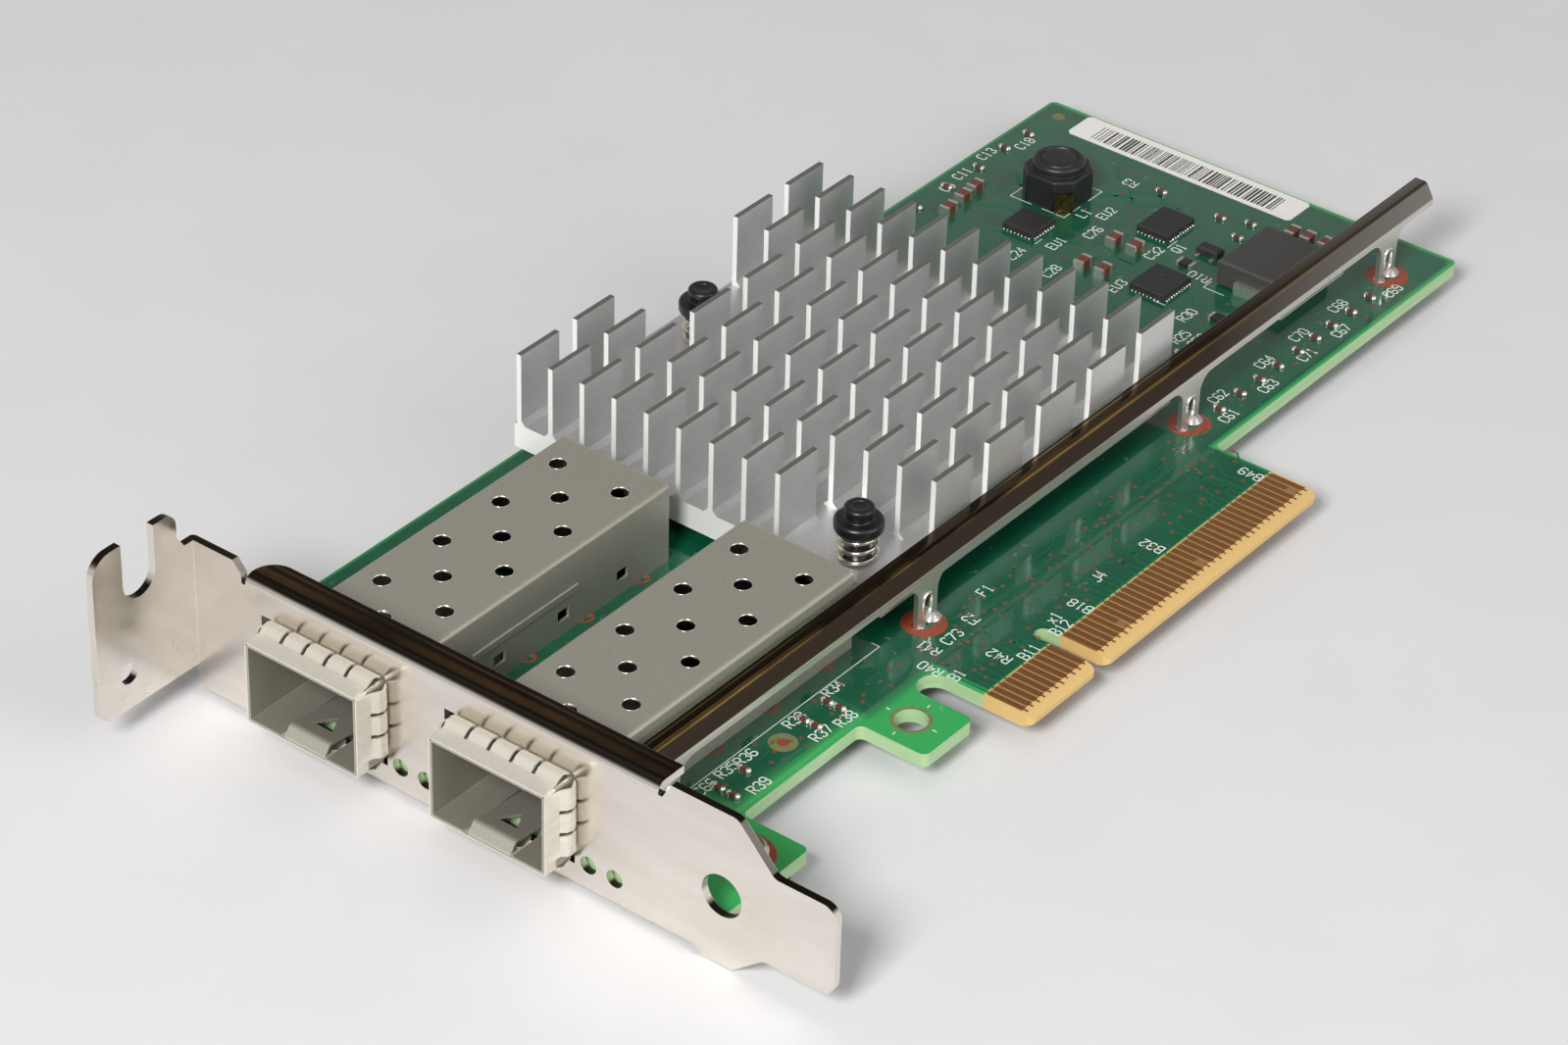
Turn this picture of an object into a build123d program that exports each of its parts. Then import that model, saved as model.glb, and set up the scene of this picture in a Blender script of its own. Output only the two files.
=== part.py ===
import os
from math import cos, pi, sin

from build123d import *

os.makedirs("parts", exist_ok=True)

# Card data: lengths run from the key notch's centre, heights from the connector's
# edge, and levels from the board's component side
board_thick = 1.57
board_back = 87.9
board_front = -56.2
board_high = 68.8
shoulder_y = 13.05
corner_r = 0.8
connector_x0 = -12.15
connector_x1 = 39.15
bevel_long = 1.3
bevel_deep = 0.5
key_wide = 1.9
key_high = 8.2
slot_wide = 3.75
slot_high = 12.25
lug_wide = 7.9
lug_y = 4.3
lug_hole_r = 1.75
lug_hole_x = -19.96
lug_hole_y = 8.88
bay_x0 = -42.3
bay_y = 12.3
foot_y = 4.1

# Edge contacts
contact_pitch = 1.0
contact_wide = 0.7
contact_y0 = 1.4
contact_y1 = 5.6
contact_thick = 0.06
first_contact = -11.5
short_contact = 1.4

# Bracket
sheet = 0.86
face_x = -57.3
plate_y0 = 1.6
plate_low = -3.97
rim_low = -3.45
rim_y = 5.6
foot_top = 14.0
plate_high = 14.45
flange_top = 13.35
flange_deep = 3.8
flange_y0 = 10.5
flange_y1 = 62.0
bend_r = 1.15
relief = 0.5
return_deep = 3.0
tongue_end = -10.25
tongue_low = -0.9
tongue_wide = 10.2
tongue_top_y = -3.2
tongue_slope = 3.7
tab_top = 19.0
tab_low = -0.35
tab_end = -71.0
notch_x = -64.8
notch_wide = 4.42
notch_floor = 11.9
prong_wide = 3.1
prong_shoulder = 1.4
tab_hole_r = 1.2
tab_hole_x = -66.8
tab_hole_z = 3.75
fold_r = 0.55
port_hole_r = 2.35
port_hole_y = 2.85
port_hole_z = 4.25
led_r = 1.0
led_z = -0.3
led_gap = 1.9
led_pitch = 3.2
hole_sides = 14

# Bracket screws and ears
screw_x = -47.3
screw_y = 8.8
screw_y2 = 63.4
screw_head_r = 3.0
screw_head_high = 1.0
screw_r = 1.5
screw_play = 0.1
screw_slack = 0.02
screw_sides = 16
ear_wide = 8.6
ear_reach = 4.4

# Cages
cage_sheet = 0.3
cage_wide = 14.15
cage_high = 9.25
cage_y = 27.75
cage_spacing = 23.5
cage_back = -14.2
nose_out = 4.1
window_near = 0.25
window_far = 1.7
window_low = 0.9
window_over = 0.35
vent_r = 1.0
vent_sides = 12
vent_pitch = 8.9
vent_row = 4.07
vent_back = 4.2
vent_stagger = 4.55
rear_play = 0.4
side_window_long = 1.7
side_window_high = 1.3
side_window_z = 2.3
rib_long = 15.9
rib_high = 0.7
rib_out = 0.15
floor_long = 26.0
latch_wide = 5.2
latch_long = 8.6
latch_slit = 0.45
latch_lift = 0.9
latch_lip = 1.1
latch_catch_r = 1.5
latch_catch_x = 3.6
collar_band = 1.9
collar_flare = 0.25
collar_sheet = 0.12
collar_bulge = 0.6
collar_shoulder = 0.48
collar_crest = 0.06
collar_low = 1.3
collar_slit = 0.45
collar_play = 0.1
side_windows = (-40.5, -30.8, -21.6)
cage_pin_wide = 0.7
cage_pin_long = 2.5
cage_pin_back = 4.2
cage_pin_pitch = 8.85
cage_pin_play = 0.15
socket_long = 12.0
socket_wide = 11.8
socket_high = 6.2
socket_slot_wide = 9.6
socket_slot_high = 1.3
socket_slot_deep = 5.0

# Heat sink
sink_x0 = -10.35
sink_x1 = 40.75
sink_y0 = 20.0
sink_y1 = 68.05
sink_low = 1.8
sink_floor = 4.7
sink_top = 13.35
fin_thick = 0.6
fin_long = 6.15
fin_inset = 0.35
fin_rows = 12
fin_columns = 6
root_cut = 0.55
pad_thick = 0.25
chip_side = 25.0
chip_x = 15.2
chip_y = 44.0

# Push pins, at the near corner and the far edge of the heat sink
pin_x0 = -6.7
pin_y0 = 25.8
pin_x1 = 15.1
pin_y1 = 63.4
pin_shaft_r = 1.2
pin_play = 0.3
pin_collar_r = 2.6
pin_collar_z = 7.9
pin_collar_top = 9.5
pin_collar_wall = 8.4
pin_cap_r = 1.6
pin_cap_z = 10.35
pin_top = 11.0
pin_sides = 14
barb_r = 1.75
barb_low = -3.9
barb_play = 0.05
wire_r = 0.24
coil_r = 1.95
coil_turns = 3
coil_sides = 12

# Stiffener bar
bar_x0 = -48.6
bar_x1 = 88.6
bar_y = 17.4
bar_sheet = 0.55
bar_web_low = 5.4
bar_knee = 6.2
bar_top = 8.05
bar_lean = 1.05
bar_top_wide = 1.5
leg_xs = (-47.0, -6.0, 40.8, 79.8)
leg_wide = 3.2
leg_hole_long = 2.4
leg_hole_wide = 1.2
leg_hole_z = 2.4
leg_flare = 2.0
tail_wide = 1.5
tail_low = -2.5
tail_play = 0.2
solder_r = 1.3
solder_high = 0.7

# Board-mounted parts: places are from the key notch and the connector's edge
drum_x, drum_y, drum_side, drum_high = 70.8, 56.1, 7.2, 4.8
drum_sides = 20
choke_x, choke_y, choke_long, choke_wide, choke_high = 71.2, 26.9, 9.8, 8.6, 3.2
chips = {
    "driver_chip": (62.8, 54.4, 4.2, 4.2),
    "memory_chip": (72.7, 42.4, 5.4, 4.2),
    "regulator_chip": (62.0, 35.8, 5.4, 4.6),
}
chip_high = 0.85
transistor_x, transistor_y = 71.2, 35.3
transistor_long, transistor_wide, transistor_high = 2.8, 1.5, 0.95
large_caps = ((59.4, 63.1), (62.6, 63.4), (65.2, 63.6), (66.0, 44.8), (66.2, 42.1),
              (59.7, 44.7), (59.8, 42.0), (80.2, 30.2), (80.3, 28.2), (80.5, 25.9))
cap_long, cap_wide, cap_high, cap_end = 2.0, 1.25, 1.15, 0.4
large_resistors = ((67.5, 36.0), (60.2, 26.8))
resistor_long, resistor_wide, resistor_high, resistor_end = 2.0, 1.25, 0.5, 0.35
small_caps = [(74.96, 16.5), (71.13, 16.5), (67.41, 16.6), (64.05, 16.6), (60.54, 16.5),
              (56.67, 16.6), (53.07, 16.6), (49.48, 16.7), (45.48, 16.7),
              (-23.0, 16.9), (-23.0, 15.4), (-26.8, 16.9), (-26.8, 15.4), (-40.6, 16.5),
              (-36.75, 16.4), (-40.6, 14.7), (69.6, 66.3), (75.1, 66.6), (79.5, 66.4),
              (63.7, 66.5), (57.9, 66.5), (78.7, 47.1), (78.3, 38.7), (76.0, 34.8),
              (79.4, 35.3), (51.8, 26.0)]
small_long, small_wide, small_high = 1.0, 0.55, 0.4
clip_thick = 0.5
lamp_inset, lamp_long, lamp_wide, lamp_high = 0.2, 1.0, 1.6, 0.8
label_x0, label_x1, label_y0, label_y1, label_thick = 82.9, 87.6, 32.4, 63.3, 0.1

# The frame: origin under the middle of the card's box, at its lowest point
tab_face = board_high + sheet
datum_x = -(tab_end + bar_x1) / 2
datum_y = -(tongue_end + tab_face) / 2
datum_z = -plate_low


def level(height=0.0):
    return Plane(origin=(datum_x, datum_y, datum_z + height))


def across(x):
    return Plane(origin=(datum_x + x, datum_y, datum_z), x_dir=(0, 1, 0), z_dir=(1, 0, 0))


def along(y):
    return Plane(origin=(datum_x, datum_y + y, datum_z), x_dir=(1, 0, 0), z_dir=(0, -1, 0))


def save(piece, name):
    piece.part.label = name
    export_step(piece.part, f"parts/{name}.step")


cage_ys = (cage_y, cage_y + cage_spacing)
cage_pins = [cage_back - cage_pin_back - cage_pin_pitch * i for i in range(4)]
nose_x = face_x - nose_out
plate_back = face_x + sheet
slot_x1 = connector_x0
slot_x0 = slot_x1 - slot_wide
lug_x0 = slot_x0 - lug_wide
screw_ys = (screw_y, screw_y2)
pins = ((pin_x0, pin_y0), (pin_x1, pin_y1))

# Circuit board, with its key notch, connector slot, tooling lug and bracket foot
with BuildPart() as circuit_board:
    with BuildSketch(level()):
        with BuildLine():
            Polyline(
                (board_back, shoulder_y), (board_back, board_high),
                (board_front, board_high), (board_front, foot_y),
                (bay_x0, foot_y), (bay_x0, bay_y), (lug_x0, bay_y), (lug_x0, lug_y),
                (slot_x0, lug_y), (slot_x0, slot_high), (slot_x1, slot_high),
                (slot_x1, 0), (-key_wide / 2, 0), (-key_wide / 2, key_high),
                (key_wide / 2, key_high), (key_wide / 2, 0),
                (connector_x1, 0), (connector_x1, shoulder_y), close=True)
        make_face()
        key_tops = vertices().filter_by_position(Axis.Y, key_high - 0.01, key_high + 0.01)
        slot_tops = (vertices().filter_by_position(Axis.Y, slot_high - 0.01, slot_high + 0.01)
                     .filter_by_position(Axis.X, slot_x0 - 0.1, slot_x1 + 0.1))
        fillet(vertices() - key_tops - slot_tops, corner_r)
        fillet(vertices().filter_by_position(Axis.Y, key_high - 0.01, key_high + 0.01),
               key_wide / 2 - 0.01)
        fillet(vertices().filter_by_position(Axis.Y, slot_high - 0.01, slot_high + 0.01)
               .filter_by_position(Axis.X, slot_x0 - 0.1, slot_x1 + 0.1), slot_wide / 2 - 0.01)
        with Locations((lug_hole_x, lug_hole_y)):
            Circle(lug_hole_r, mode=Mode.SUBTRACT)
        with Locations(*[(screw_x, y) for y in screw_ys]):
            RegularPolygon(screw_r + screw_play, hole_sides, mode=Mode.SUBTRACT)
        with Locations(*pins):
            RegularPolygon(pin_shaft_r + pin_play, hole_sides, mode=Mode.SUBTRACT)
        with Locations(*[(x, bar_y + bar_sheet / 2) for x in leg_xs]):
            Rectangle(tail_wide + 2 * tail_play, bar_sheet + 2 * tail_play, mode=Mode.SUBTRACT)
        with Locations(*[(x, y + side * (cage_wide - cage_sheet) / 2)
                         for y in cage_ys for side in (-1, 1) for x in cage_pins]):
            Rectangle(cage_pin_wide + 2 * cage_pin_play, cage_sheet + 2 * cage_pin_play,
                      mode=Mode.SUBTRACT)
    extrude(amount=-board_thick)
    # Bevel of the connector's insertion edge, both faces
    with BuildSketch(across(connector_x0 - 1)):
        with BuildLine():
            Polyline((-0.5, bevel_deep), (-0.5, -bevel_deep), (0, -bevel_deep),
                     (bevel_long, 0), (bevel_long, bevel_deep), close=True)
        make_face()
        mirror(about=Plane.XZ.offset(board_thick / 2))
    extrude(amount=connector_x1 - connector_x0 + 2, mode=Mode.SUBTRACT)
save(circuit_board, "circuit_board")

# Gold contacts on both faces of the connector edge; the longest run keeps clear of the key
contact_xs = [first_contact + contact_pitch * i for i in range(51)]
contact_xs = [x for x in contact_xs if abs(x) > key_wide / 2 + contact_wide / 2 - 0.1]
short_xs = (first_contact + 18 * contact_pitch, first_contact + 32 * contact_pitch,
            first_contact + 49 * contact_pitch)
for name, height, lift in (("edge_contacts_front", 0, contact_thick),
                           ("edge_contacts_rear", -board_thick, -contact_thick)):
    with BuildPart() as contacts:
        with BuildSketch(level(height)):
            for x in contact_xs:
                trim = short_contact if any(abs(x - s) < 0.1 for s in short_xs) else 0
                with Locations((x, contact_y0 + trim)):
                    Rectangle(contact_wide, contact_y1 - contact_y0 - trim,
                              align=(Align.CENTER, Align.MIN))
        extrude(amount=lift)
    save(contacts, name)

# Low-profile bracket: one sheet with a face plate, a screw tab folded out at one end, a slot
# tongue at the other, a stiffening flange folded back along the top and a return with two
# screw ears folded under the board
with BuildPart() as mounting_bracket:
    with BuildSketch(across(face_x)):
        with BuildLine():
            Polyline(
                (tab_face, tab_low), (board_high + relief / 2, tab_low - 2 * relief),
                (board_high - relief, rim_low), (rim_y, rim_low), (rim_y - relief, plate_low),
                (plate_y0, plate_low), (plate_y0 - tongue_slope, tongue_low), (tongue_end, tongue_low),
                (tongue_end, tongue_low + tongue_wide), (tongue_top_y, tongue_low + tongue_wide),
                (1.2, foot_top), (flange_y0 - relief - 1.0, foot_top),
                (flange_y0 - relief, flange_top - bend_r),
                (flange_y1 + relief, flange_top - bend_r), (flange_y1 + relief, foot_top - 0.8),
                (flange_y1 + relief + 1.1, plate_high), (tab_face, plate_high), close=True)
        make_face()
        ends = vertices().filter_by_position(Axis.Y, tongue_low - 0.1, plate_high + 0.1)
        fillet(ends.filter_by_position(Axis.X, tongue_end - 0.1, tongue_end + 0.1), 1.5)
        fillet(vertices().filter_by_position(Axis.X, tongue_end + 3, plate_y0 - 0.3)
               .filter_by_position(Axis.Y, tongue_low - 0.1, foot_top + 0.1), 1.2)
        with Locations((port_hole_y, port_hole_z)):
            Circle(port_hole_r, mode=Mode.SUBTRACT)
        for y in cage_ys:
            with Locations((y - cage_wide / 2 - window_near, -window_low)):
                Rectangle(cage_wide + window_near + window_far, cage_high + window_low + window_over,
                          align=(Align.MIN, Align.MIN), mode=Mode.SUBTRACT)
            with Locations((y - cage_wide / 2 - led_gap, led_z),
                           (y - cage_wide / 2 - led_gap - led_pitch, led_z)):
                RegularPolygon(led_r, hole_sides, mode=Mode.SUBTRACT)
    extrude(amount=sheet)
    # Top flange
    with BuildSketch(along(flange_y1)):
        with BuildLine():
            Polyline((face_x, flange_top - bend_r), (face_x, flange_top),
                     (face_x + flange_deep, flange_top), (face_x + flange_deep, flange_top - sheet),
                     (plate_back, flange_top - sheet), (plate_back, flange_top - bend_r), close=True)
        make_face()
        fillet(vertices().sort_by_distance((face_x, flange_top))[0], bend_r - 0.05)
        fillet(vertices().sort_by_distance((plate_back, flange_top - sheet))[0],
               bend_r - sheet - 0.05)
    extrude(amount=flange_y1 - flange_y0)
    flange_corner = (edges().filter_by(Axis.Z)
                     .filter_by_position(Axis.X, datum_x + face_x + flange_deep - 0.1,
                                         datum_x + face_x + flange_deep + 0.1)
                     .sort_by(Axis.Y)[-1])
    fillet(flange_corner, 2.6)
    # Return along the bottom, with a screw ear at each end
    with BuildSketch(level(rim_low)):
        with Locations((plate_back, rim_y)):
            Rectangle(return_deep - sheet, board_high - relief - rim_y, align=(Align.MIN, Align.MIN))
        with Locations(*[(plate_back, y) for y in screw_ys]):
            Rectangle(screw_x - plate_back + ear_reach, ear_wide, align=(Align.MIN, Align.CENTER))
        tips = vertices().filter_by_position(Axis.X, screw_x + ear_reach - 0.1,
                                             screw_x + ear_reach + 0.1)
        fillet(tips, 2.5)
        with Locations(*[(screw_x, y) for y in screw_ys]):
            Circle(screw_r, mode=Mode.SUBTRACT)
    extrude(amount=sheet)
    # Raised bosses that carry the board
    with BuildSketch(level(rim_low + sheet)):
        with Locations(*[(screw_x, y) for y in screw_ys]):
            RegularPolygon(screw_r + 1.3, hole_sides)
            Circle(screw_r, mode=Mode.SUBTRACT)
    extrude(amount=-board_thick - rim_low - sheet)
    # Rounded fold along the bottom rim
    rim = (edges().filter_by(Axis.Y)
           .filter_by_position(Axis.X, datum_x + face_x - 0.01, datum_x + face_x + 0.01)
           .filter_by_position(Axis.Z, datum_z + rim_low - 0.01, datum_z + rim_low + 0.01))
    fillet(rim, sheet * 0.6)
    # Screw tab, folded outwards, with its open notch
    prong_x = notch_x + notch_wide / 2 + prong_wide
    with BuildSketch(along(board_high)):
        with BuildLine():
            Polyline((plate_back, tab_low), (tab_end, tab_low), (tab_end, tab_top),
                     (prong_x, tab_top), (prong_x, plate_high + prong_shoulder),
                     (face_x - 1.2, plate_high), (plate_back, plate_high), close=True)
        make_face()
        fillet(vertices().sort_by_distance((tab_end, tab_low))[0], 1.5)
        fillet(vertices().sort_by_distance((tab_end, tab_top))[0], 2.5)
        fillet(vertices().sort_by_distance((prong_x, tab_top))[0], prong_wide / 2)
        fillet(vertices().sort_by_distance((prong_x, plate_high + prong_shoulder))[0], 0.8)
        with Locations((notch_x, notch_floor + notch_wide / 2)):
            Circle(notch_wide / 2, mode=Mode.SUBTRACT)
            Rectangle(notch_wide, tab_top - notch_floor, align=(Align.CENTER, Align.MIN),
                      mode=Mode.SUBTRACT)
        with Locations((tab_hole_x, tab_hole_z)):
            RegularPolygon(tab_hole_r, hole_sides, mode=Mode.SUBTRACT)
    extrude(amount=-sheet)
    # The fold between plate and tab
    fillet(edges().filter_by(Axis.Z).sort_by_distance(
        (datum_x + plate_back, datum_y + tab_face, datum_z + plate_high / 2))[0], fold_r)
save(mounting_bracket, "mounting_bracket")


# Screws that hold the bracket's ears under the board
with BuildPart() as bracket_screws:
    for y in screw_ys:
        with BuildSketch(level()):
            with Locations((screw_x, y)):
                RegularPolygon(screw_head_r, screw_sides)
        extrude(amount=screw_head_high)
        rims = faces().filter_by_position(Axis.Z, datum_z + screw_head_high - 0.01,
                                          datum_z + screw_head_high + 0.01).sort_by(Axis.Y)[-1]
        chamfer(rims.edges(), screw_head_high * 0.45)
        with BuildSketch(level()):
            with Locations((screw_x, y)):
                RegularPolygon(screw_r - screw_slack, screw_sides)
        extrude(amount=rim_low)
    with BuildSketch(level(screw_head_high)):
        for y in screw_ys:
            with Locations((screw_x, y)):
                Rectangle(screw_head_r * 1.1, 0.6)
                Rectangle(0.6, screw_head_r * 1.1)
    extrude(amount=-screw_head_high * 0.55, mode=Mode.SUBTRACT)
save(bracket_screws, "bracket_screws")

# Port cages, each one folded sheet: top, sides and rear wall, with vents, side windows, a
# stiffening rib and pins that go through the board
for y, letter in zip(cage_ys, "ab"):
    with BuildPart() as port_cage:
        with BuildSketch(across(nose_x)):
            with Locations((y, 0)):
                Rectangle(cage_wide, cage_high, align=(Align.CENTER, Align.MIN))
            fillet(vertices().group_by(Axis.Y)[-1], cage_sheet * 1.6)
            with Locations((y, 0)):
                Rectangle(cage_wide - 2 * cage_sheet, cage_high - cage_sheet,
                          align=(Align.CENTER, Align.MIN), mode=Mode.SUBTRACT)
        extrude(amount=cage_back - nose_x)
        with BuildSketch(across(cage_back)):
            with Locations((y, 0)):
                Rectangle(cage_wide - cage_sheet, cage_high - cage_sheet / 2,
                          align=(Align.CENTER, Align.MIN))
        extrude(amount=-cage_sheet)
        with BuildSketch(level(cage_high)):
            for i in range(4):
                x = cage_back - vent_back - i * vent_pitch
                with Locations((x, y - vent_row), (x, y + vent_row), (x - vent_stagger, y)):
                    RegularPolygon(vent_r, vent_sides)
        extrude(amount=-2 * cage_sheet, mode=Mode.SUBTRACT)
        with BuildSketch(along(y - cage_wide / 2 - 1)):
            with Locations(*[(x, side_window_z) for x in side_windows]):
                Rectangle(side_window_long, side_window_high)
        extrude(amount=-cage_wide - 2, mode=Mode.SUBTRACT)
        for side in (-1, 1):
            with BuildSketch(along(y + side * cage_wide / 2)):
                with Locations((side_windows[0] + rib_long / 4, cage_high / 2)):
                    Rectangle(rib_long, rib_high)
            extrude(amount=-side * rib_out)
        with BuildSketch(level()):
            with Locations(*[(x, y + side * (cage_wide - cage_sheet) / 2)
                             for side in (-1, 1) for x in cage_pins]):
                Rectangle(cage_pin_wide, cage_sheet)
        extrude(amount=-cage_pin_long)
    save(port_cage, f"port_cage_{letter}")

    # Floor plate with the raised latch tongue, its rolled lip and its triangular catch hole
    with BuildPart() as cage_floor:
        with BuildSketch(level()):
            with Locations((nose_x, y)):
                Rectangle(floor_long, cage_wide - 2 * cage_sheet, align=(Align.MIN, Align.CENTER))
            with Locations((nose_x, y)):
                Rectangle(latch_long, latch_wide + 2 * latch_slit, align=(Align.MIN, Align.CENTER),
                          mode=Mode.SUBTRACT)
        extrude(amount=cage_sheet)
        root, crest, tip = nose_x + latch_long, nose_x + latch_lip, nose_x + cage_sheet
        with BuildSketch(along(y + latch_wide / 2)):
            with BuildLine():
                Polyline((root, 0), (crest + cage_sheet, latch_lift), (tip + 1.2 * cage_sheet, 0),
                         (tip, 0), (crest, latch_lift + cage_sheet), (root, cage_sheet), close=True)
            make_face()
            fillet(vertices().sort_by_distance((crest, latch_lift + cage_sheet))[0], 0.8)
        extrude(amount=latch_wide)
        with BuildSketch(level()):
            with Locations((nose_x + latch_catch_x, y)):
                RegularPolygon(latch_catch_r, 3)
        extrude(amount=latch_lift + 2 * cage_sheet, mode=Mode.SUBTRACT)
    save(cage_floor, f"cage_floor_{letter}")

    # Spring-finger collar round the nose: five fingers above, three on each other side
    finger_x0 = nose_x + collar_band
    finger_x1 = face_x - collar_play
    finger_xm = (finger_x0 + finger_x1) / 2
    finger_mid = 0.3 * (finger_x1 - finger_x0)
    strip_wide = cage_wide - cage_sheet
    strip_high = cage_high - cage_sheet / 2 - collar_low
    with BuildPart() as cage_collar:
        for plane, base, out, reach in (
                (along(y + strip_wide / 2), cage_high, 1, strip_wide),
                (along(y + strip_wide / 2), 0, -1, strip_wide),
                (level(collar_low), y + cage_wide / 2, 1, strip_high),
                (level(collar_low), y - cage_wide / 2, -1, strip_high)):
            skin = base + out * collar_sheet
            flare, bulge = out * collar_flare, out * (collar_flare + collar_bulge)
            with BuildSketch(plane):
                with BuildLine():
                    Line((nose_x, skin), (nose_x, base))
                    Line((nose_x, base), (finger_x0, base + flare))
                    Line((finger_x0, base + flare), (finger_xm, base + bulge))
                    Line((finger_xm, base + bulge), (finger_x1, base + flare))
                    Polyline((finger_x1, base + flare), (finger_x1, skin + flare),
                             (finger_xm + finger_mid, skin + flare + out * collar_shoulder),
                             (finger_xm, skin + bulge + out * collar_crest),
                             (finger_xm - finger_mid, skin + flare + out * collar_shoulder),
                             (finger_x0, skin + flare), (nose_x, skin))
                make_face()
            extrude(amount=reach)
        slit_x = (finger_x0 + finger_x1) / 2
        slit_long = finger_x1 - finger_x0 + 0.3
        slit_deep = 2 * (collar_flare + collar_bulge)
        with BuildSketch(level(cage_high)):
            with Locations((slit_x, y)):
                with GridLocations(0, strip_wide / 5, 1, 4):
                    Rectangle(slit_long, collar_slit)
        extrude(amount=slit_deep, mode=Mode.SUBTRACT)
        with BuildSketch(level()):
            with Locations((slit_x, y)):
                with GridLocations(0, strip_wide / 3, 1, 2):
                    Rectangle(slit_long, collar_slit)
        extrude(amount=-slit_deep, mode=Mode.SUBTRACT)
        for side in (-1, 1):
            with BuildSketch(along(y + side * cage_wide / 2)):
                with Locations((slit_x, collar_low + strip_high / 2)):
                    with GridLocations(0, strip_high / 3, 1, 2):
                        Rectangle(slit_long, collar_slit)
            extrude(amount=-side * slit_deep, mode=Mode.SUBTRACT)
        # Front band that ties the four strips together round the nose
        with BuildSketch(across(nose_x)):
            with Locations((y, cage_high / 2)):
                RectangleRounded(cage_wide + 2 * collar_sheet, cage_high + 2 * collar_sheet,
                                 1.5 * collar_sheet)
                Rectangle(cage_wide, cage_high, mode=Mode.SUBTRACT)
        extrude(amount=collar_band * 0.8)
    save(cage_collar, f"cage_collar_{letter}")

    # Socket at the back of the cage, which takes the module's card edge
    with BuildPart() as port_socket:
        socket_back = cage_back - cage_sheet - rear_play
        with BuildSketch(across(socket_back)):
            with Locations((y, 0)):
                Rectangle(socket_wide, socket_high, align=(Align.CENTER, Align.MIN))
        extrude(amount=-socket_long)
        chamfer(edges().filter_by(Axis.X).group_by(Axis.Z)[-1], 0.5)
        with BuildSketch(across(socket_back - socket_long)):
            with Locations((y, socket_high * 0.56)):
                Rectangle(socket_slot_wide, socket_slot_high)
        extrude(amount=socket_slot_deep, mode=Mode.SUBTRACT)
        with BuildSketch(across(socket_back - socket_long)):
            with Locations((y, 0)):
                Rectangle(socket_wide - 3, socket_high * 0.24, align=(Align.CENTER, Align.MIN))
        extrude(amount=socket_slot_deep, mode=Mode.SUBTRACT)
    save(port_socket, f"port_socket_{letter}")

# Heat sink: an extruded section of fins with flared channel roots, cross-cut into short
# plates, with fins left out round the two push pins
fin_pitch_y = (sink_y1 - sink_y0 - 2 * fin_inset - fin_thick) / (fin_rows - 1)
fin_pitch_x = (sink_x1 - sink_x0 - fin_long) / (fin_columns - 1)
channel = fin_pitch_y - fin_thick
first_channel = sink_y0 + fin_inset + fin_thick
with BuildPart() as heat_sink:
    with BuildSketch(across(sink_x0)):
        with Locations((sink_y0, sink_low)):
            Rectangle(sink_y1 - sink_y0, sink_top - sink_low, align=(Align.MIN, Align.MIN))
        with Locations(*[(first_channel + i * fin_pitch_y, sink_floor)
                         for i in range(fin_rows - 1)]):
            Rectangle(channel, sink_top - sink_floor, align=(Align.MIN, Align.MIN),
                      mode=Mode.SUBTRACT)
        chamfer(vertices().filter_by_position(Axis.Y, sink_floor - 0.01, sink_floor + 0.01), root_cut)
        with Locations((sink_y0, sink_floor)):
            Rectangle(fin_inset, sink_top - sink_floor, align=(Align.MIN, Align.MIN),
                      mode=Mode.SUBTRACT)
        with Locations((sink_y1, sink_floor)):
            Rectangle(fin_inset, sink_top - sink_floor, align=(Align.MAX, Align.MIN),
                      mode=Mode.SUBTRACT)
    extrude(amount=sink_x1 - sink_x0)
    with BuildSketch(level(sink_floor)):
        with Locations(*[(sink_x0 + fin_long + i * fin_pitch_x, sink_y0 - 1)
                         for i in range(fin_columns - 1)]):
            Rectangle(fin_pitch_x - fin_long, sink_y1 - sink_y0 + 2, align=(Align.MIN, Align.MIN))
        with Locations((sink_x0 - 1, sink_y0 - 1)):
            Rectangle(fin_long + 2, 1 + first_channel + 2.5 * fin_pitch_y - fin_thick - sink_y0,
                      align=(Align.MIN, Align.MIN))
        with Locations((sink_x0 + 2 * fin_pitch_x - 1, sink_y1 + 1)):
            Rectangle(fin_pitch_x + fin_long + 2, 1 + fin_inset + fin_thick + 1.5 * fin_pitch_y,
                      align=(Align.MIN, Align.MAX))
    extrude(amount=sink_top - sink_floor + 1, mode=Mode.SUBTRACT)
    with BuildSketch(level(sink_low)):
        with Locations(*pins):
            RegularPolygon(pin_shaft_r + pin_play, hole_sides)
    extrude(amount=sink_floor - sink_low, mode=Mode.SUBTRACT)
save(heat_sink, "heat_sink")

# Controller chip and its thermal pad
with BuildPart() as controller_chip:
    with BuildSketch(level()):
        with Locations((chip_x, chip_y)):
            Rectangle(chip_side, chip_side)
    extrude(amount=sink_low - pad_thick)
    chamfer(faces().sort_by(Axis.Z)[-1].edges(), 0.3)
save(controller_chip, "controller_chip")
with BuildPart() as thermal_pad:
    with BuildSketch(level(sink_low - pad_thick)):
        with Locations((chip_x, chip_y)):
            Rectangle(chip_side - 1, chip_side - 1)
    extrude(amount=pad_thick)
save(thermal_pad, "thermal_pad")

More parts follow.
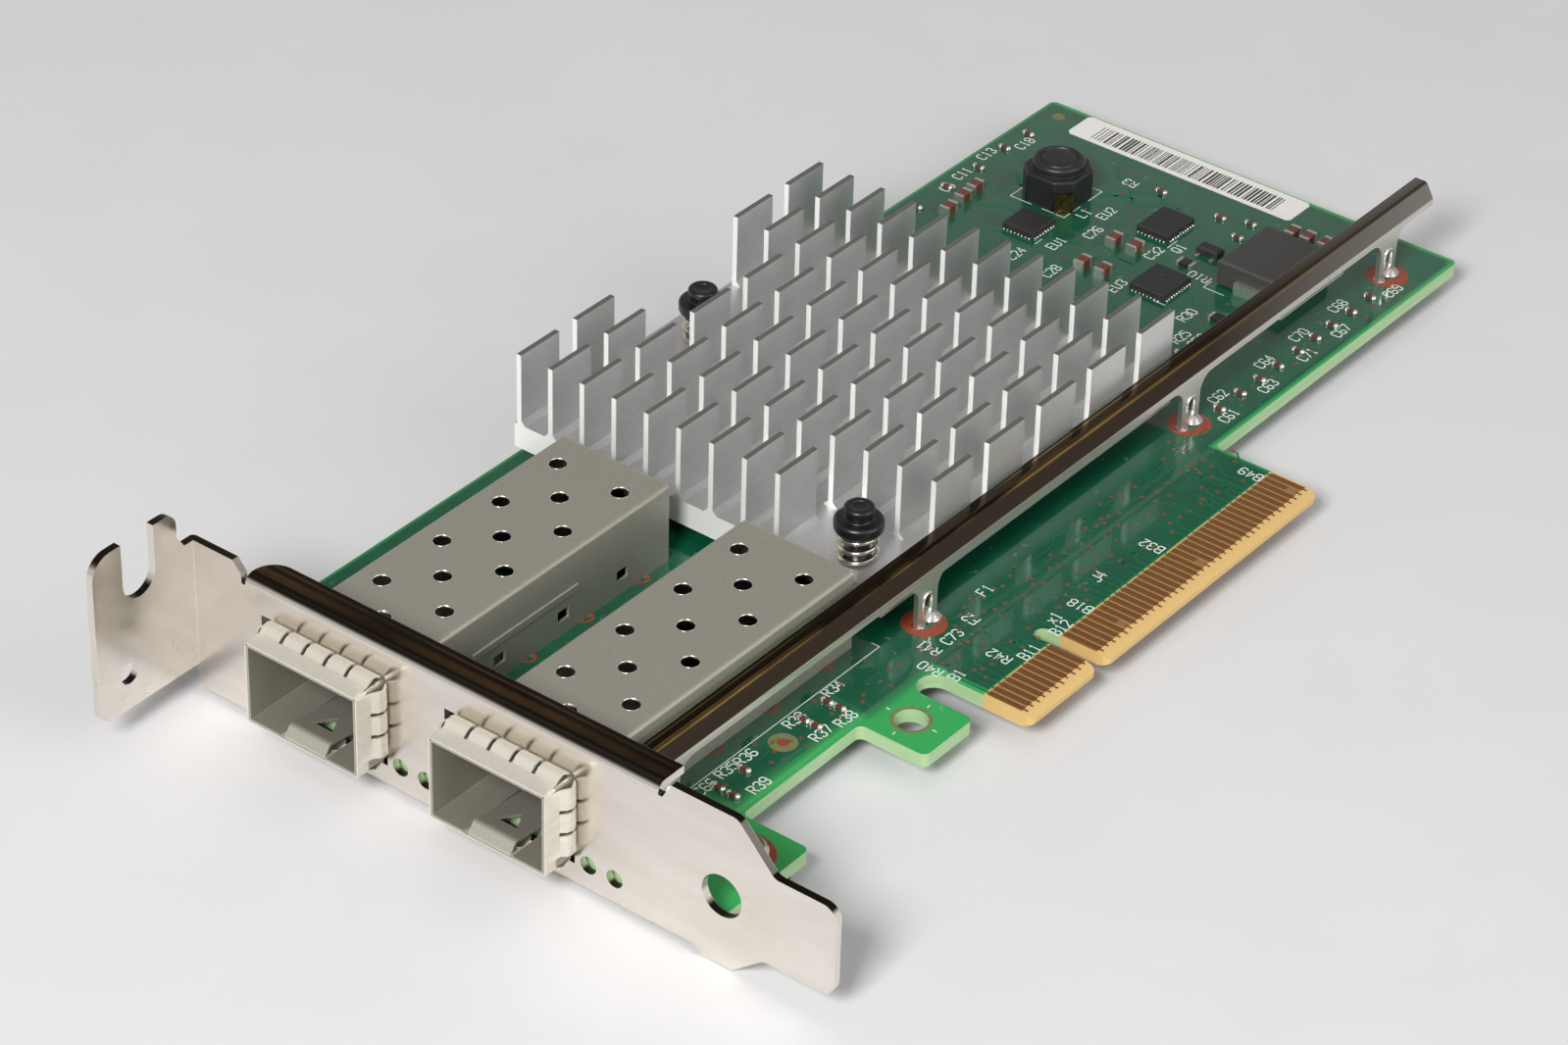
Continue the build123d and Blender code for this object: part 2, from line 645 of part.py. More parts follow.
# Push pins with split barbs, and their springs: each pin is a stack of levels and radii
pin_profile = (
    (barb_low, barb_r * 0.45), (-board_thick - 0.5, barb_r), (-board_thick - barb_play, barb_r),
    (-board_thick - barb_play, pin_shaft_r), (pin_collar_z, pin_shaft_r),
    (pin_collar_z, pin_collar_r - 0.35), (pin_collar_wall, pin_collar_r),
    (pin_collar_top - 0.25, pin_collar_r), (pin_collar_top, pin_collar_r - 0.25),
    (pin_collar_top, pin_shaft_r), (pin_cap_z, pin_shaft_r), (pin_cap_z, pin_cap_r),
    (pin_top - 0.2, pin_cap_r), (pin_top, pin_cap_r - 0.2))
with BuildPart() as push_pins:
    for x, y in pins:
        for (low, low_r), (high, high_r) in zip(pin_profile, pin_profile[1:]):
            if high > low:
                for height, radius in ((low, low_r), (high, high_r)):
                    with BuildSketch(level(height)):
                        with Locations((x, y)):
                            RegularPolygon(radius, pin_sides)
                loft(ruled=True)
        with BuildSketch(along(y)):
            with Locations((x, barb_low)):
                Rectangle(0.5, -barb_low - 0.4, align=(Align.CENTER, Align.MIN))
        extrude(amount=barb_r + 1, both=True, mode=Mode.SUBTRACT)
save(push_pins, "push_pins")
coil_low = sink_floor + wire_r
coil_high = pin_collar_z - wire_r
coil_steps = coil_turns * coil_sides
coil_points = [(coil_r * cos(2 * pi * i / coil_sides), coil_r * sin(2 * pi * i / coil_sides),
                (coil_high - coil_low) * i / coil_steps) for i in range(coil_steps + 1)]
with BuildPart() as pin_springs:
    for x, y in pins:
        with BuildLine(Plane(origin=(datum_x + x, datum_y + y, datum_z + coil_low))) as coil:
            Polyline(*coil_points)
        with BuildSketch(Plane(origin=coil.line @ 0, z_dir=coil.line % 0)):
            RegularPolygon(wire_r, 4)
        sweep(path=coil.line, transition=Transition.RIGHT)
save(pin_springs, "pin_springs")

# Stiffener bar: a folded lip along the card, on four legs soldered into the board
with BuildPart() as stiffener_bar:
    with BuildSketch(across(bar_x0)):
        with BuildLine():
            FilletPolyline((bar_y, bar_web_low), (bar_y, bar_knee), (bar_y + bar_lean, bar_top),
                           (bar_y + bar_lean + bar_top_wide, bar_top), radius=bar_sheet + 0.1)
            offset(amount=bar_sheet, side=Side.RIGHT)
        make_face()
    extrude(amount=bar_x1 - bar_x0)
    with BuildSketch(along(bar_y)):
        with Locations((bar_x0, bar_web_low)):
            Rectangle(bar_x1 - bar_x0, bar_sheet / 2, align=(Align.MIN, Align.MIN))
        with Locations(*[(x, 0) for x in leg_xs]):
            Rectangle(leg_wide, bar_web_low + 0.1, align=(Align.CENTER, Align.MIN))
        nooks = (vertices().filter_by_position(Axis.Y, bar_web_low - 0.01, bar_web_low + 0.01)
                 .filter_by_position(Axis.X, bar_x0 + 0.1, bar_x1 - 0.1))
        fillet(nooks, leg_flare)
        with Locations(*[(x, 0) for x in leg_xs]):
            Rectangle(tail_wide, -tail_low, align=(Align.CENTER, Align.MAX))
        with Locations(*[(x, leg_hole_z) for x in leg_xs]):
            Rectangle(leg_hole_wide, leg_hole_long - leg_hole_wide, mode=Mode.SUBTRACT)
        hole_ends = (leg_hole_long - leg_hole_wide) / 2
        with Locations(*[(x, leg_hole_z + side * hole_ends) for x in leg_xs for side in (-1, 1)]):
            RegularPolygon(leg_hole_wide / 2, 8, mode=Mode.SUBTRACT)
    extrude(amount=-bar_sheet)
save(stiffener_bar, "stiffener_bar")
with BuildPart() as bar_solder:
    for x in leg_xs:
        with BuildSketch(level()):
            with Locations((x + leg_wide / 2, bar_y + bar_sheet / 2)):
                RegularPolygon(solder_r, 12)
        extrude(amount=solder_high, taper=35)
    with BuildSketch(level()):
        with Locations(*[(x, bar_y) for x in leg_xs]):
            Rectangle(leg_wide, bar_sheet, align=(Align.CENTER, Align.MIN))
    extrude(amount=solder_high + 1, mode=Mode.SUBTRACT)
save(bar_solder, "bar_solder")

# Round power inductor with two end clips
with BuildPart() as drum_inductor:
    with BuildSketch(level()):
        with Locations((drum_x, drum_y)):
            Rectangle(drum_side, drum_side)
        chamfer(vertices(), drum_side * 0.24)
    extrude(amount=drum_high * 0.78)
    chamfer(faces().sort_by(Axis.Z)[-1].edges(), 0.35)
    with BuildSketch(level(drum_high * 0.78)):
        with Locations((drum_x, drum_y)):
            RegularPolygon(drum_side * 0.42, drum_sides)
    extrude(amount=drum_high * 0.22)
    chamfer(faces().sort_by(Axis.Z)[-1].edges(), 0.25)
    with BuildSketch(level(drum_high)):
        with Locations((drum_x, drum_y)):
            RegularPolygon(drum_side * 0.33, drum_sides)
            RegularPolygon(drum_side * 0.29, drum_sides, mode=Mode.SUBTRACT)
    extrude(amount=-0.25, mode=Mode.SUBTRACT)
save(drum_inductor, "drum_inductor")
with BuildPart() as drum_clips:
    for side in (-1, 1):
        reach = drum_side * (0.5 - 0.12)
        with BuildSketch(level()):
            with Locations(Location((drum_x + side * (reach + 0.25), drum_y + side * (reach + 0.25)),
                                    45)):
                Rectangle(clip_thick, drum_side * 0.3)
        extrude(amount=drum_high * 0.5)
save(drum_clips, "drum_clips")

# Square choke with two folded terminals
with BuildPart() as square_choke:
    with BuildSketch(level(clip_thick / 2)):
        with Locations((choke_x, choke_y)):
            Rectangle(choke_long, choke_wide)
    extrude(amount=choke_high - clip_thick / 2)
    chamfer(faces().sort_by(Axis.Z)[-1].edges(), 0.2)
save(square_choke, "square_choke")
with BuildPart() as choke_terminals:
    for side in (-1, 1):
        with BuildSketch(along(choke_y + choke_wide * 0.2)):
            with BuildLine():
                wall = choke_x + side * choke_long / 2
                Polyline((wall - side * 1.5, 0), (wall + side * clip_thick, 0),
                         (wall + side * clip_thick, choke_high * 0.45), (wall, choke_high * 0.45),
                         (wall, clip_thick / 2), (wall - side * 1.5, clip_thick / 2), close=True)
            make_face()
        extrude(amount=choke_wide * 0.4)
save(choke_terminals, "choke_terminals")

# Flat chips, transistor and passives
for name, (x, y, long, wide) in chips.items():
    with BuildPart() as chip:
        with BuildSketch(level()):
            with Locations((x, y)):
                Rectangle(long, wide)
        extrude(amount=chip_high)
        chamfer(faces().sort_by(Axis.Z)[-1].edges(), 0.08)
    save(chip, name)
with BuildPart() as transistor:
    with BuildSketch(level()):
        with Locations((transistor_x, transistor_y)):
            Rectangle(transistor_wide, transistor_long)
    extrude(amount=transistor_high)
    chamfer(faces().sort_by(Axis.Z)[-1].edges(), 0.2)
save(transistor, "transistor")
with BuildPart() as large_capacitors:
    with BuildSketch(level()):
        with Locations(*large_caps):
            Rectangle(cap_long - 2 * cap_end, cap_wide - 0.06)
    extrude(amount=cap_high - 0.03)
save(large_capacitors, "large_capacitors")
with BuildPart() as capacitor_ends:
    with BuildSketch(level()):
        for side in (-1, 1):
            with Locations(*[(x + side * (cap_long - cap_end) / 2, y) for x, y in large_caps]):
                Rectangle(cap_end, cap_wide)
    extrude(amount=cap_high)
save(capacitor_ends, "capacitor_ends")
with BuildPart() as large_chip_resistors:
    with BuildSketch(level()):
        with Locations(*large_resistors):
            Rectangle(resistor_wide, resistor_long - 2 * resistor_end)
    extrude(amount=resistor_high)
save(large_chip_resistors, "chip_resistors")
with BuildPart() as resistor_ends:
    with BuildSketch(level()):
        for side in (-1, 1):
            with Locations(*[(x, y + side * (resistor_long - resistor_end) / 2)
                             for x, y in large_resistors]):
                Rectangle(resistor_wide, resistor_end)
    extrude(amount=resistor_high)
save(resistor_ends, "resistor_ends")
with BuildPart() as small_passives:
    with BuildSketch(level()):
        with Locations(*small_caps):
            Rectangle(small_wide, small_long)
    extrude(amount=small_high)
save(small_passives, "small_passives")

# Status lamps behind the bracket's four round holes
with BuildPart() as status_lamps:
    with BuildSketch(level()):
        with Locations(*[(board_front + lamp_inset, y - cage_wide / 2 - led_gap - i * led_pitch)
                         for y in cage_ys for i in (0, 1)]):
            Rectangle(lamp_long, lamp_wide, align=(Align.MIN, Align.CENTER))
    extrude(amount=lamp_high)
save(status_lamps, "status_lamps")

# Plain paper label
with BuildPart() as paper_label:
    with BuildSketch(level()):
        with Locations(((label_x0 + label_x1) / 2, (label_y0 + label_y1) / 2)):
            Rectangle(label_x1 - label_x0, label_y1 - label_y0)
        chamfer(vertices(), 0.4)
    extrude(amount=label_thick)
save(paper_label, "paper_label")
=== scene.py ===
import random
from math import cos, pi, radians, sin

import bmesh
import bpy
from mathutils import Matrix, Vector


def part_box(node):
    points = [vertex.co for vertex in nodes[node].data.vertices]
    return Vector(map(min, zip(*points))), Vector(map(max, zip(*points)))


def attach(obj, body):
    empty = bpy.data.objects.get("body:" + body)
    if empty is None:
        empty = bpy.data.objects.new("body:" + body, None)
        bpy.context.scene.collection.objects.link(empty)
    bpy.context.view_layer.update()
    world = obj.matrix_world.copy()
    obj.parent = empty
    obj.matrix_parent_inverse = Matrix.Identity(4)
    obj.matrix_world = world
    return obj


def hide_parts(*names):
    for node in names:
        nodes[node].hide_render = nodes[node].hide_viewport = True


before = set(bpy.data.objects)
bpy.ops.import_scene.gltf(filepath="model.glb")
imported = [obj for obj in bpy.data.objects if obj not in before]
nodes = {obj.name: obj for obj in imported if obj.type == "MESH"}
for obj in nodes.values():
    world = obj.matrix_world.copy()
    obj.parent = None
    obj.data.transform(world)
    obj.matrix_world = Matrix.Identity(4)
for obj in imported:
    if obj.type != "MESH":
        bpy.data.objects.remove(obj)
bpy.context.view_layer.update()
scene = bpy.context.scene
mm = 0.001
floatKind = "NodeSocketFloat"

# The card's own measures, in mm: x from the key notch, y from the connector's edge, z from the board's face
boardData = {"backEdge": 87.9, "farEdge": 68.8, "thick": 1.57, "lugHole": (-19.96, 8.88), "pad": (-30.87, 16.27),
             "cageRows": (27.75, 51.25)}
cardZero = Vector(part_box("circuit_board")[1]) - Vector((boardData["backEdge"], boardData["farEdge"], 0)) * mm


def card(x, y, z=0.0):
    return cardZero + Vector((x, y, z)) * mm


def cardBox(name):  # a node's lowest and highest corner in the card's measures
    return [[length / mm for length in Vector(corner) - cardZero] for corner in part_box(name)]


def rearLevel(high, gap):  # lowest level of a detail that lies on the back of the board
    return -boardData["thick"] - high - gap


def srgb(r, g, b):
    def linear(v):
        v /= 255
        return v / 12.92 if v <= 0.04045 else ((v + 0.055) / 1.055) ** 2.4
    return (linear(r), linear(g), linear(b), 1.0)


# Node helpers
def addNode(tree, kind, inputs=None, **settings):  # an input is a constant or another node's output
    node = tree.nodes.new(kind)
    for key, value in settings.items():
        setattr(node, key, value)
    for key, value in (inputs or {}).items():
        if hasattr(value, "is_linked"):
            tree.links.new(value, node.inputs[key])
        else:
            node.inputs[key].default_value = value
    return node


def mathNode(tree, operation, *values, clamp=False):
    return addNode(tree, "ShaderNodeMath", dict(enumerate(values)), operation=operation, use_clamp=clamp).outputs[0]


def mapValue(tree, value, low, high, start=0.0, end=1.0, kind="LINEAR"):
    return addNode(tree, "ShaderNodeMapRange", {"Value": value, 1: low, 2: high, 3: start, 4: end},
                   interpolation_type=kind).outputs[0]


def mixColor(tree, factor, a, b):
    return addNode(tree, "ShaderNodeMix", {0: factor, 6: a, 7: b}, data_type="RGBA").outputs[2]


def axesOf(tree, kind, output):  # x, y and z of a place or a direction
    return addNode(tree, "ShaderNodeSeparateXYZ", {0: addNode(tree, kind).outputs[output]}).outputs


def ownPlace(tree):
    return addNode(tree, "ShaderNodeTexCoord").outputs["Object"]


def ownNoise(tree, scale, detail=2.0):
    return addNode(tree, "ShaderNodeTexNoise",
                   {"Vector": ownPlace(tree), "Scale": scale, "Detail": detail}).outputs[0]


def newGroup(name, inputs, *outputs):
    tree = bpy.data.node_groups.new(name, "ShaderNodeTree")
    for label, value in inputs.items():
        tree.interface.new_socket(label, in_out="INPUT", socket_type=floatKind).default_value = value
    for label in outputs:
        tree.interface.new_socket(label, in_out="OUTPUT", socket_type=floatKind)
    return tree, tree.nodes.new("NodeGroupInput").outputs, tree.nodes.new("NodeGroupOutput").inputs


def makeGrainGroup():  # stretched noise in the part's own space, for brushed, rolled and moulded faces
    tree, given, out = newGroup(
        "surfaceGrain", {"Scale": 1000.0, "Stretch X": 1.0, "Stretch Y": 1.0, "Stretch Z": 1.0, "Detail": 4.0},
        "Height", "Mask")
    stretch = addNode(tree, "ShaderNodeCombineXYZ", {i: given["Stretch " + axis] for i, axis in enumerate("XYZ")})
    moved = addNode(tree, "ShaderNodeVectorMath", {0: ownPlace(tree), 1: stretch.outputs[0]}, operation="MULTIPLY")
    noise = addNode(tree, "ShaderNodeTexNoise", {"Vector": moved.outputs[0], "Scale": given["Scale"],
                                                 "Detail": given["Detail"], "Roughness": 0.6}).outputs[0]
    tree.links.new(noise, out["Height"])
    tree.links.new(mapValue(tree, noise, 0.3, 0.7), out["Mask"])
    return tree


def makeEdgeGroup():  # bright worn edges that also stand in as painted edge highlights, from the rounded normal against the true one
    tree, given, out = newGroup("edgeWear", {"Radius": 0.0002, "Break Up": 0.5}, "Mask")
    soft = addNode(tree, "ShaderNodeBevel", {"Radius": given["Radius"]}, samples=4)
    true = addNode(tree, "ShaderNodeNewGeometry")
    dot = addNode(tree, "ShaderNodeVectorMath", {0: soft.outputs[0], 1: true.outputs["Normal"]},
                  operation="DOT_PRODUCT")
    bend = mapValue(tree, dot.outputs["Value"], 0.995, 0.85)
    broken = mathNode(tree, "MULTIPLY", ownNoise(tree, 900.0), given["Break Up"])
    kept = mathNode(tree, "SUBTRACT", 1.0, broken)
    tree.links.new(mathNode(tree, "MULTIPLY", bend, kept, clamp=True), out["Mask"])
    return tree


def makeDustGroup():  # dust and lint specks that settle on faces looking up
    tree, given, out = newGroup("dustSpecks", {"Scale": 700.0, "Amount": 0.3}, "Mask")
    specks = mapValue(tree, ownNoise(tree, given["Scale"]), 0.68, 0.78)
    up = mathNode(tree, "MULTIPLY", axesOf(tree, "ShaderNodeNewGeometry", "Normal")[2], given["Amount"], clamp=True)
    tree.links.new(mathNode(tree, "MULTIPLY", specks, up, clamp=True), out["Mask"])
    return tree


def makeBoxGroup():  # soft-edged box mask in plan, for the copper planes under the mask
    tree, given, out = newGroup(
        "softBox", {"Low X": 0.0, "High X": 1.0, "Low Y": 0.0, "High Y": 1.0, "Blur": 0.001}, "Mask")
    place = axesOf(tree, "ShaderNodeTexCoord", "Object")
    total = None
    for axis, letter in enumerate("XY"):
        for end, sign in (("Low ", 1), ("High ", -1)):
            past = mathNode(tree, "SUBTRACT", place[axis], given[end + letter])
            soft = mathNode(tree, "DIVIDE", mathNode(tree, "MULTIPLY", past, sign), given["Blur"])
            step = mapValue(tree, soft, -1.0, 1.0, kind="SMOOTHSTEP")
            total = step if total is None else mathNode(tree, "MULTIPLY", total, step)
    tree.links.new(total, out["Mask"])
    return tree


grainGroup, edgeGroup, dustGroup, boxGroup = makeGrainGroup(), makeEdgeGroup(), makeDustGroup(), makeBoxGroup()


def useGroup(tree, group, **inputs):  # breakUp=0.4 sets the socket Break Up
    node = addNode(tree, "ShaderNodeGroup", node_tree=group)
    for key, value in inputs.items():
        label = "".join(" " + c if c.isupper() else c for c in key)
        node.inputs[label[0].upper() + label[1:]].default_value = value
    return node.outputs


def useGrain(tree, look):
    stretchX, stretchY, stretchZ = look["stretch"]
    return useGroup(tree, grainGroup, scale=look["scale"], stretchX=stretchX, stretchY=stretchY, stretchZ=stretchZ)


def useBox(tree, x0, x1, y0, y1, blur):
    low, high = card(x0, y0), card(x1, y1)
    return useGroup(tree, boxGroup, lowX=low.x, highX=high.x, lowY=low.y, highY=high.y, blur=blur * mm)["Mask"]


def newMaterial(name, settings):
    material = bpy.data.materials.new(name)
    material.use_nodes = True
    shader = material.node_tree.nodes["Principled BSDF"]
    for key, value in settings.items():
        shader.inputs[key].default_value = value
    return material, material.node_tree, shader


def addBump(tree, shader, height, strength, distance):
    bump = addNode(tree, "ShaderNodeBump", {"Height": height, "Strength": strength, "Distance": distance * mm})
    tree.links.new(bump.outputs[0], shader.inputs["Normal"])


def setRoughness(tree, shader, mask, low, high):
    tree.links.new(mapValue(tree, mask, 0, 1, low, high), shader.inputs["Roughness"])


def heightMask(tree, level, soft):  # 1 above a level of the part's own space, in metres
    return mapValue(tree, axesOf(tree, "ShaderNodeTexCoord", "Object")[2], level - soft * mm, level)


def startFinish(name, look, breakUp, depth, **settings):  # with its grain, worn edges with painted edge highlights, roughness and bump
    material, tree, shader = newMaterial(name, {"Base Color": look["color"], **settings})
    grain = useGrain(tree, look)
    edge = useGroup(tree, edgeGroup, radius=look["edge"] * mm, breakUp=breakUp)
    shade = mixColor(tree, grain["Mask"], look["color"], look["shade"])
    setRoughness(tree, shader, grain["Mask"], *look["rough"])
    addBump(tree, shader, grain["Height"], look["bump"], depth)
    return material, tree, shader, mixColor(tree, edge["Mask"], shade, look["bright"])


def metalFinish(name, look):  # plated, rolled, brushed or extruded metal
    material, tree, shader, wornAndLit = startFinish(name, look, 0.4, 0.02, Metallic=look.get("metal", 1.0))
    if "cuts" in look:  # painted shade on the fins' tops, darker than the drawn faces, and a painted highlight, less metallic, on the fins' ends across the length
        cuts = look["cuts"]
        # painted shade: faces above the heat sink's top level turn darker
        wornAndLit = mixColor(tree, heightMask(tree, cuts["top"], 0.05), wornAndLit, cuts["sawn"])
        # painted highlight: faces turned along x turn near white and less metallic
        along = mathNode(tree, "ABSOLUTE", axesOf(tree, "ShaderNodeTexCoord", "Normal")[0])
        ends = mapValue(tree, along, 0.35, 0.75)
        wornAndLit = mixColor(tree, ends, wornAndLit, cuts["milled"])
        tree.links.new(mapValue(tree, ends, 0, 1, look["metal"], cuts["endHighlightMetal"]), shader.inputs["Metallic"])
    tree.links.new(wornAndLit, shader.inputs["Base Color"])
    return material


def plasticFinish(name, look):  # moulded plastic, epoxy, ferrite, ceramic, ink and paper
    material, tree, shader, wornAndLit = startFinish(name, look, 0.6, 0.03)
    dust = useGroup(tree, dustGroup, scale=900.0, amount=look.get("dust", 0.15))
    tree.links.new(mixColor(tree, dust["Mask"], wornAndLit, srgb(150, 150, 145)), shader.inputs["Base Color"])
    return material


def rubbed(color, bright, shade, rough, scale=1500.0, edge=0.12, bump=0.15, stretch=(1, 1, 1), **more):
    return dict(color=srgb(*color), bright=srgb(*bright), shade=srgb(*shade), rough=rough, scale=scale,
                stretch=stretch, edge=edge, bump=bump, **more)


# Colour, worn edge with painted edge highlight, darker grain, roughness, grain scale, edge width in mm and bump of
# each finish
metalLook = {
    "cageNickel": rubbed((177, 174, 162), (238, 234, 226), (165, 162, 150), (0.44, 0.56),
                         5200, 0.1, 0.04, (0.4, 1, 1), metal=0.7),
    "collarNickel": rubbed((230, 225, 214), (252, 250, 242), (218, 212, 200), (0.4, 0.52),
                           1500, 0.08, 0.08, (0.3, 1, 1), metal=0.64),
    "bareAluminium": rubbed((226, 226, 226), (255, 255, 255), (214, 214, 214), (0.36, 0.46),
                            6000, 0.09, 0.1, (0.08, 1, 1), metal=0.88,
                            # cuts holds the painted shade on the fins' tops and the painted highlight on their ends
                            cuts={"top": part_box("heat_sink")[1][2], "sawn": srgb(142, 141, 139),
                                  "milled": srgb(246, 246, 245), "endHighlightMetal": 0.35}),
    "brightRim": rubbed((232, 230, 222), (255, 255, 250), (220, 216, 206), (0.22, 0.34), 2600, 0.05, 0.05),
    "springWire": rubbed((226, 220, 208), (255, 252, 244), (196, 188, 172), (0.14, 0.26), 2000, 0.05, 0.05),
    "contactGold": rubbed((204, 150, 96), (240, 200, 136), (180, 126, 74), (0.3, 0.46),
                          2600, 0.05, 0.12, (1, 0.12, 1)),
    "tin": rubbed((240, 238, 232), (255, 255, 252), (216, 213, 205), (0.16, 0.28), 1800, 0.05, 0.05, metal=0.9),
    "wornClip": rubbed((176, 142, 96), (226, 206, 160), (40, 34, 29), (0.16, 0.34), 1100, 0.06, 0.25),
    "legSolder": rubbed((218, 217, 214), (255, 255, 252), (186, 184, 180), (0.26, 0.42), 1400, 0.05, 0.2),
}
plasticLook = {
    "blackNylon": rubbed((20, 20, 22), (60, 60, 62), (14, 14, 16), (0.28, 0.42), 2500, 0.1, 0.1),
    "chipEpoxy": rubbed((40, 40, 42), (80, 80, 82), (30, 30, 32), (0.48, 0.62), 5000, 0.06, 0.25),
    "ferrite": rubbed((34, 33, 34), (80, 78, 76), (22, 22, 23), (0.34, 0.5), 2600, 0.12, 0.3),
    "chokePowder": rubbed((64, 62, 60), (98, 95, 91), (52, 50, 49), (0.5, 0.66), 4200, 0.12, 0.5),
    "brownCeramic": rubbed((112, 58, 44), (150, 96, 76), (92, 48, 36), (0.3, 0.45), 2600, 0.05, 0.2),
    "smallCeramic": rubbed((96, 62, 46), (130, 92, 70), (76, 48, 36), (0.3, 0.45), 2600, 0.04, 0.1),
    "resistorBlack": rubbed((40, 38, 38), (80, 78, 76), (28, 27, 27), (0.3, 0.45), 2600, 0.04, 0.1),
    "whiteInk": rubbed((226, 232, 226), (240, 244, 240), (205, 214, 206), (0.5, 0.65), 5000, 0.01, 0.1, dust=0.0),
    "labelPaper": rubbed((226, 225, 221), (238, 238, 235), (216, 215, 210), (0.55, 0.7), 3000, 0.05, 0.08),
    "labelInk": rubbed((58, 56, 60), (80, 80, 80), (46, 44, 48), (0.5, 0.65), 4000, 0.01, 0.05, dust=0.0),
    "keepOutCopper": rubbed((150, 68, 48), (176, 96, 70), (126, 54, 38), (0.26, 0.4), 1800, 0.02, 0.1),
    "viaCopper": rubbed((124, 70, 48), (160, 104, 66), (96, 60, 42), (0.3, 0.45), 1500, 0.02, 0.1),
    "traceMask": rubbed((17, 94, 66), (40, 124, 88), (13, 86, 60), (0.2, 0.32), 1500, 0.02, 0.05),
    "bareLaminate": rubbed((116, 116, 76), (140, 140, 96), (102, 104, 66), (0.35, 0.5), 1500, 0.02, 0.1),
    "paleLaminate": rubbed((182, 150, 102), (198, 168, 120), (164, 132, 86), (0.35, 0.5), 1500, 0.02, 0.1),
    "lampLens": rubbed((26, 36, 28), (70, 84, 66), (20, 28, 22), (0.12, 0.22), 1500, 0.05, 0.05),
    "padBlack": rubbed((30, 30, 31), (60, 60, 60), (22, 22, 23), (0.6, 0.75), 1800, 0.05, 0.3),
}
finishes = {name: metalFinish(name, look) for name, look in metalLook.items()}
finishes.update((name, plasticFinish(name, look)) for name, look in plasticLook.items())

# Solder mask, dark over the copper planes and brighter over bare laminate, with tan cut edges
maskLook = {
    "overCopper": srgb(14, 86, 60), "overCopperShade": srgb(9, 74, 52), "overLaminate": srgb(50, 158, 84),
    "edge": srgb(166, 196, 152), "edgeShade": srgb(146, 178, 132), "tan": srgb(202, 170, 110),
    "gap": srgb(132, 92, 54), "dust": srgb(170, 180, 170), "rough": (0.2, 0.55),
    "copperBoxes": ((-55.6, 87.45, 17.0, 68.6, 0.4), (-11.2, 38.9, 5.9, 19, 0.35), (37.0, 87.45, 13.5, 19, 0.4),
                    (-42.0, -21.5, 13.6, 19, 1.1), (-22.5, -9.5, 12.4, 19, 1.1), (-55.6, -43.4, 13.0, 19, 1.6)),
    "tanBox": (-13, 39.6, -1, 5.9, 0.12), "gapBox": (-11.8, 38.8, 1.5, 5.75, 0.08),
}


def makeMask(name, look):
    material, tree, shader = newMaterial(name, {"Base Color": look["overCopper"], "Coat Roughness": 0.06,
                                                "IOR": 1.5})
    grain = useGroup(tree, grainGroup, scale=260.0)
    fine = useGroup(tree, grainGroup, scale=2600.0)
    weave = useGroup(tree, grainGroup, scale=700.0, stretchX=0.3, stretchY=0.3, stretchZ=6.0)
    dust = useGroup(tree, dustGroup, scale=800.0, amount=0.22)
    plane = None
    for box in look["copperBoxes"]:
        mask = useBox(tree, *box)
        plane = mask if plane is None else mathNode(tree, "MAXIMUM", plane, mask)
    dark = mixColor(tree, grain["Mask"], look["overCopper"], look["overCopperShade"])
    top = mixColor(tree, plane, look["overLaminate"], dark)
    tanMask = useBox(tree, *look["tanBox"])
    top = mixColor(tree, tanMask, top, look["tan"])
    top = mixColor(tree, useBox(tree, *look["gapBox"]), top, look["gap"])
    flat = mathNode(tree, "ABSOLUTE", axesOf(tree, "ShaderNodeNewGeometry", "True Normal")[2])
    side = mapValue(tree, flat, 0.98, 0.9)
    cut = mixColor(tree, weave["Mask"], look["edge"], look["edgeShade"])
    whole = mixColor(tree, side, top, mixColor(tree, tanMask, cut, look["tan"]))
    tree.links.new(mixColor(tree, dust["Mask"], whole, look["dust"]), shader.inputs["Base Color"])
    bare = mathNode(tree, "MAXIMUM", side, tanMask)
    setRoughness(tree, shader, bare, *look["rough"])
    tree.links.new(mathNode(tree, "SUBTRACT", 1.0, bare, clamp=True), shader.inputs["Coat Weight"])
    addBump(tree, shader, fine["Height"], 0.04, 0.01)
    return material


# Bright plate whose upper faces carry a painted dark brown reflection of the room, with painted straw-coloured
# glints of a warm light along the fold.
# A line is its place on the axis and half its width; fade is where the painted reflection starts and ends clearing
plateLook = {
    "barPlate": {"plain": srgb(226, 223, 214), "shade": srgb(208, 203, 193), "smoke": srgb(70, 60, 50),
                 "streak": srgb(206, 170, 100), "axis": 1, "lines": ((18.5, 0.14), (19.5, 0.05)), "strength": 1.0,
                 "slope": (0.2, 0.42), "rough": (0.12, 0.22), "scale": 900.0, "stretch": (0.03, 1, 1),
                 "fade": (45.0, 88.0, srgb(150, 146, 142)), "glintFade": (5.0, 45.0, 0.25), "dullBelow": 6.3},
    "bracketNickel": {"plain": srgb(236, 231, 224), "shade": srgb(226, 220, 211), "smoke": srgb(66, 58, 50),
                      "streak": srgb(170, 130, 84), "axis": 0, "lines": ((-55.5, 0.35), (-54.2, 0.10)),
                      "strength": 0.5, "slope": (0.55, 0.8), "rough": (0.17, 0.28), "scale": 350.0,
                      "stretch": (1, 0.25, 1)},
}


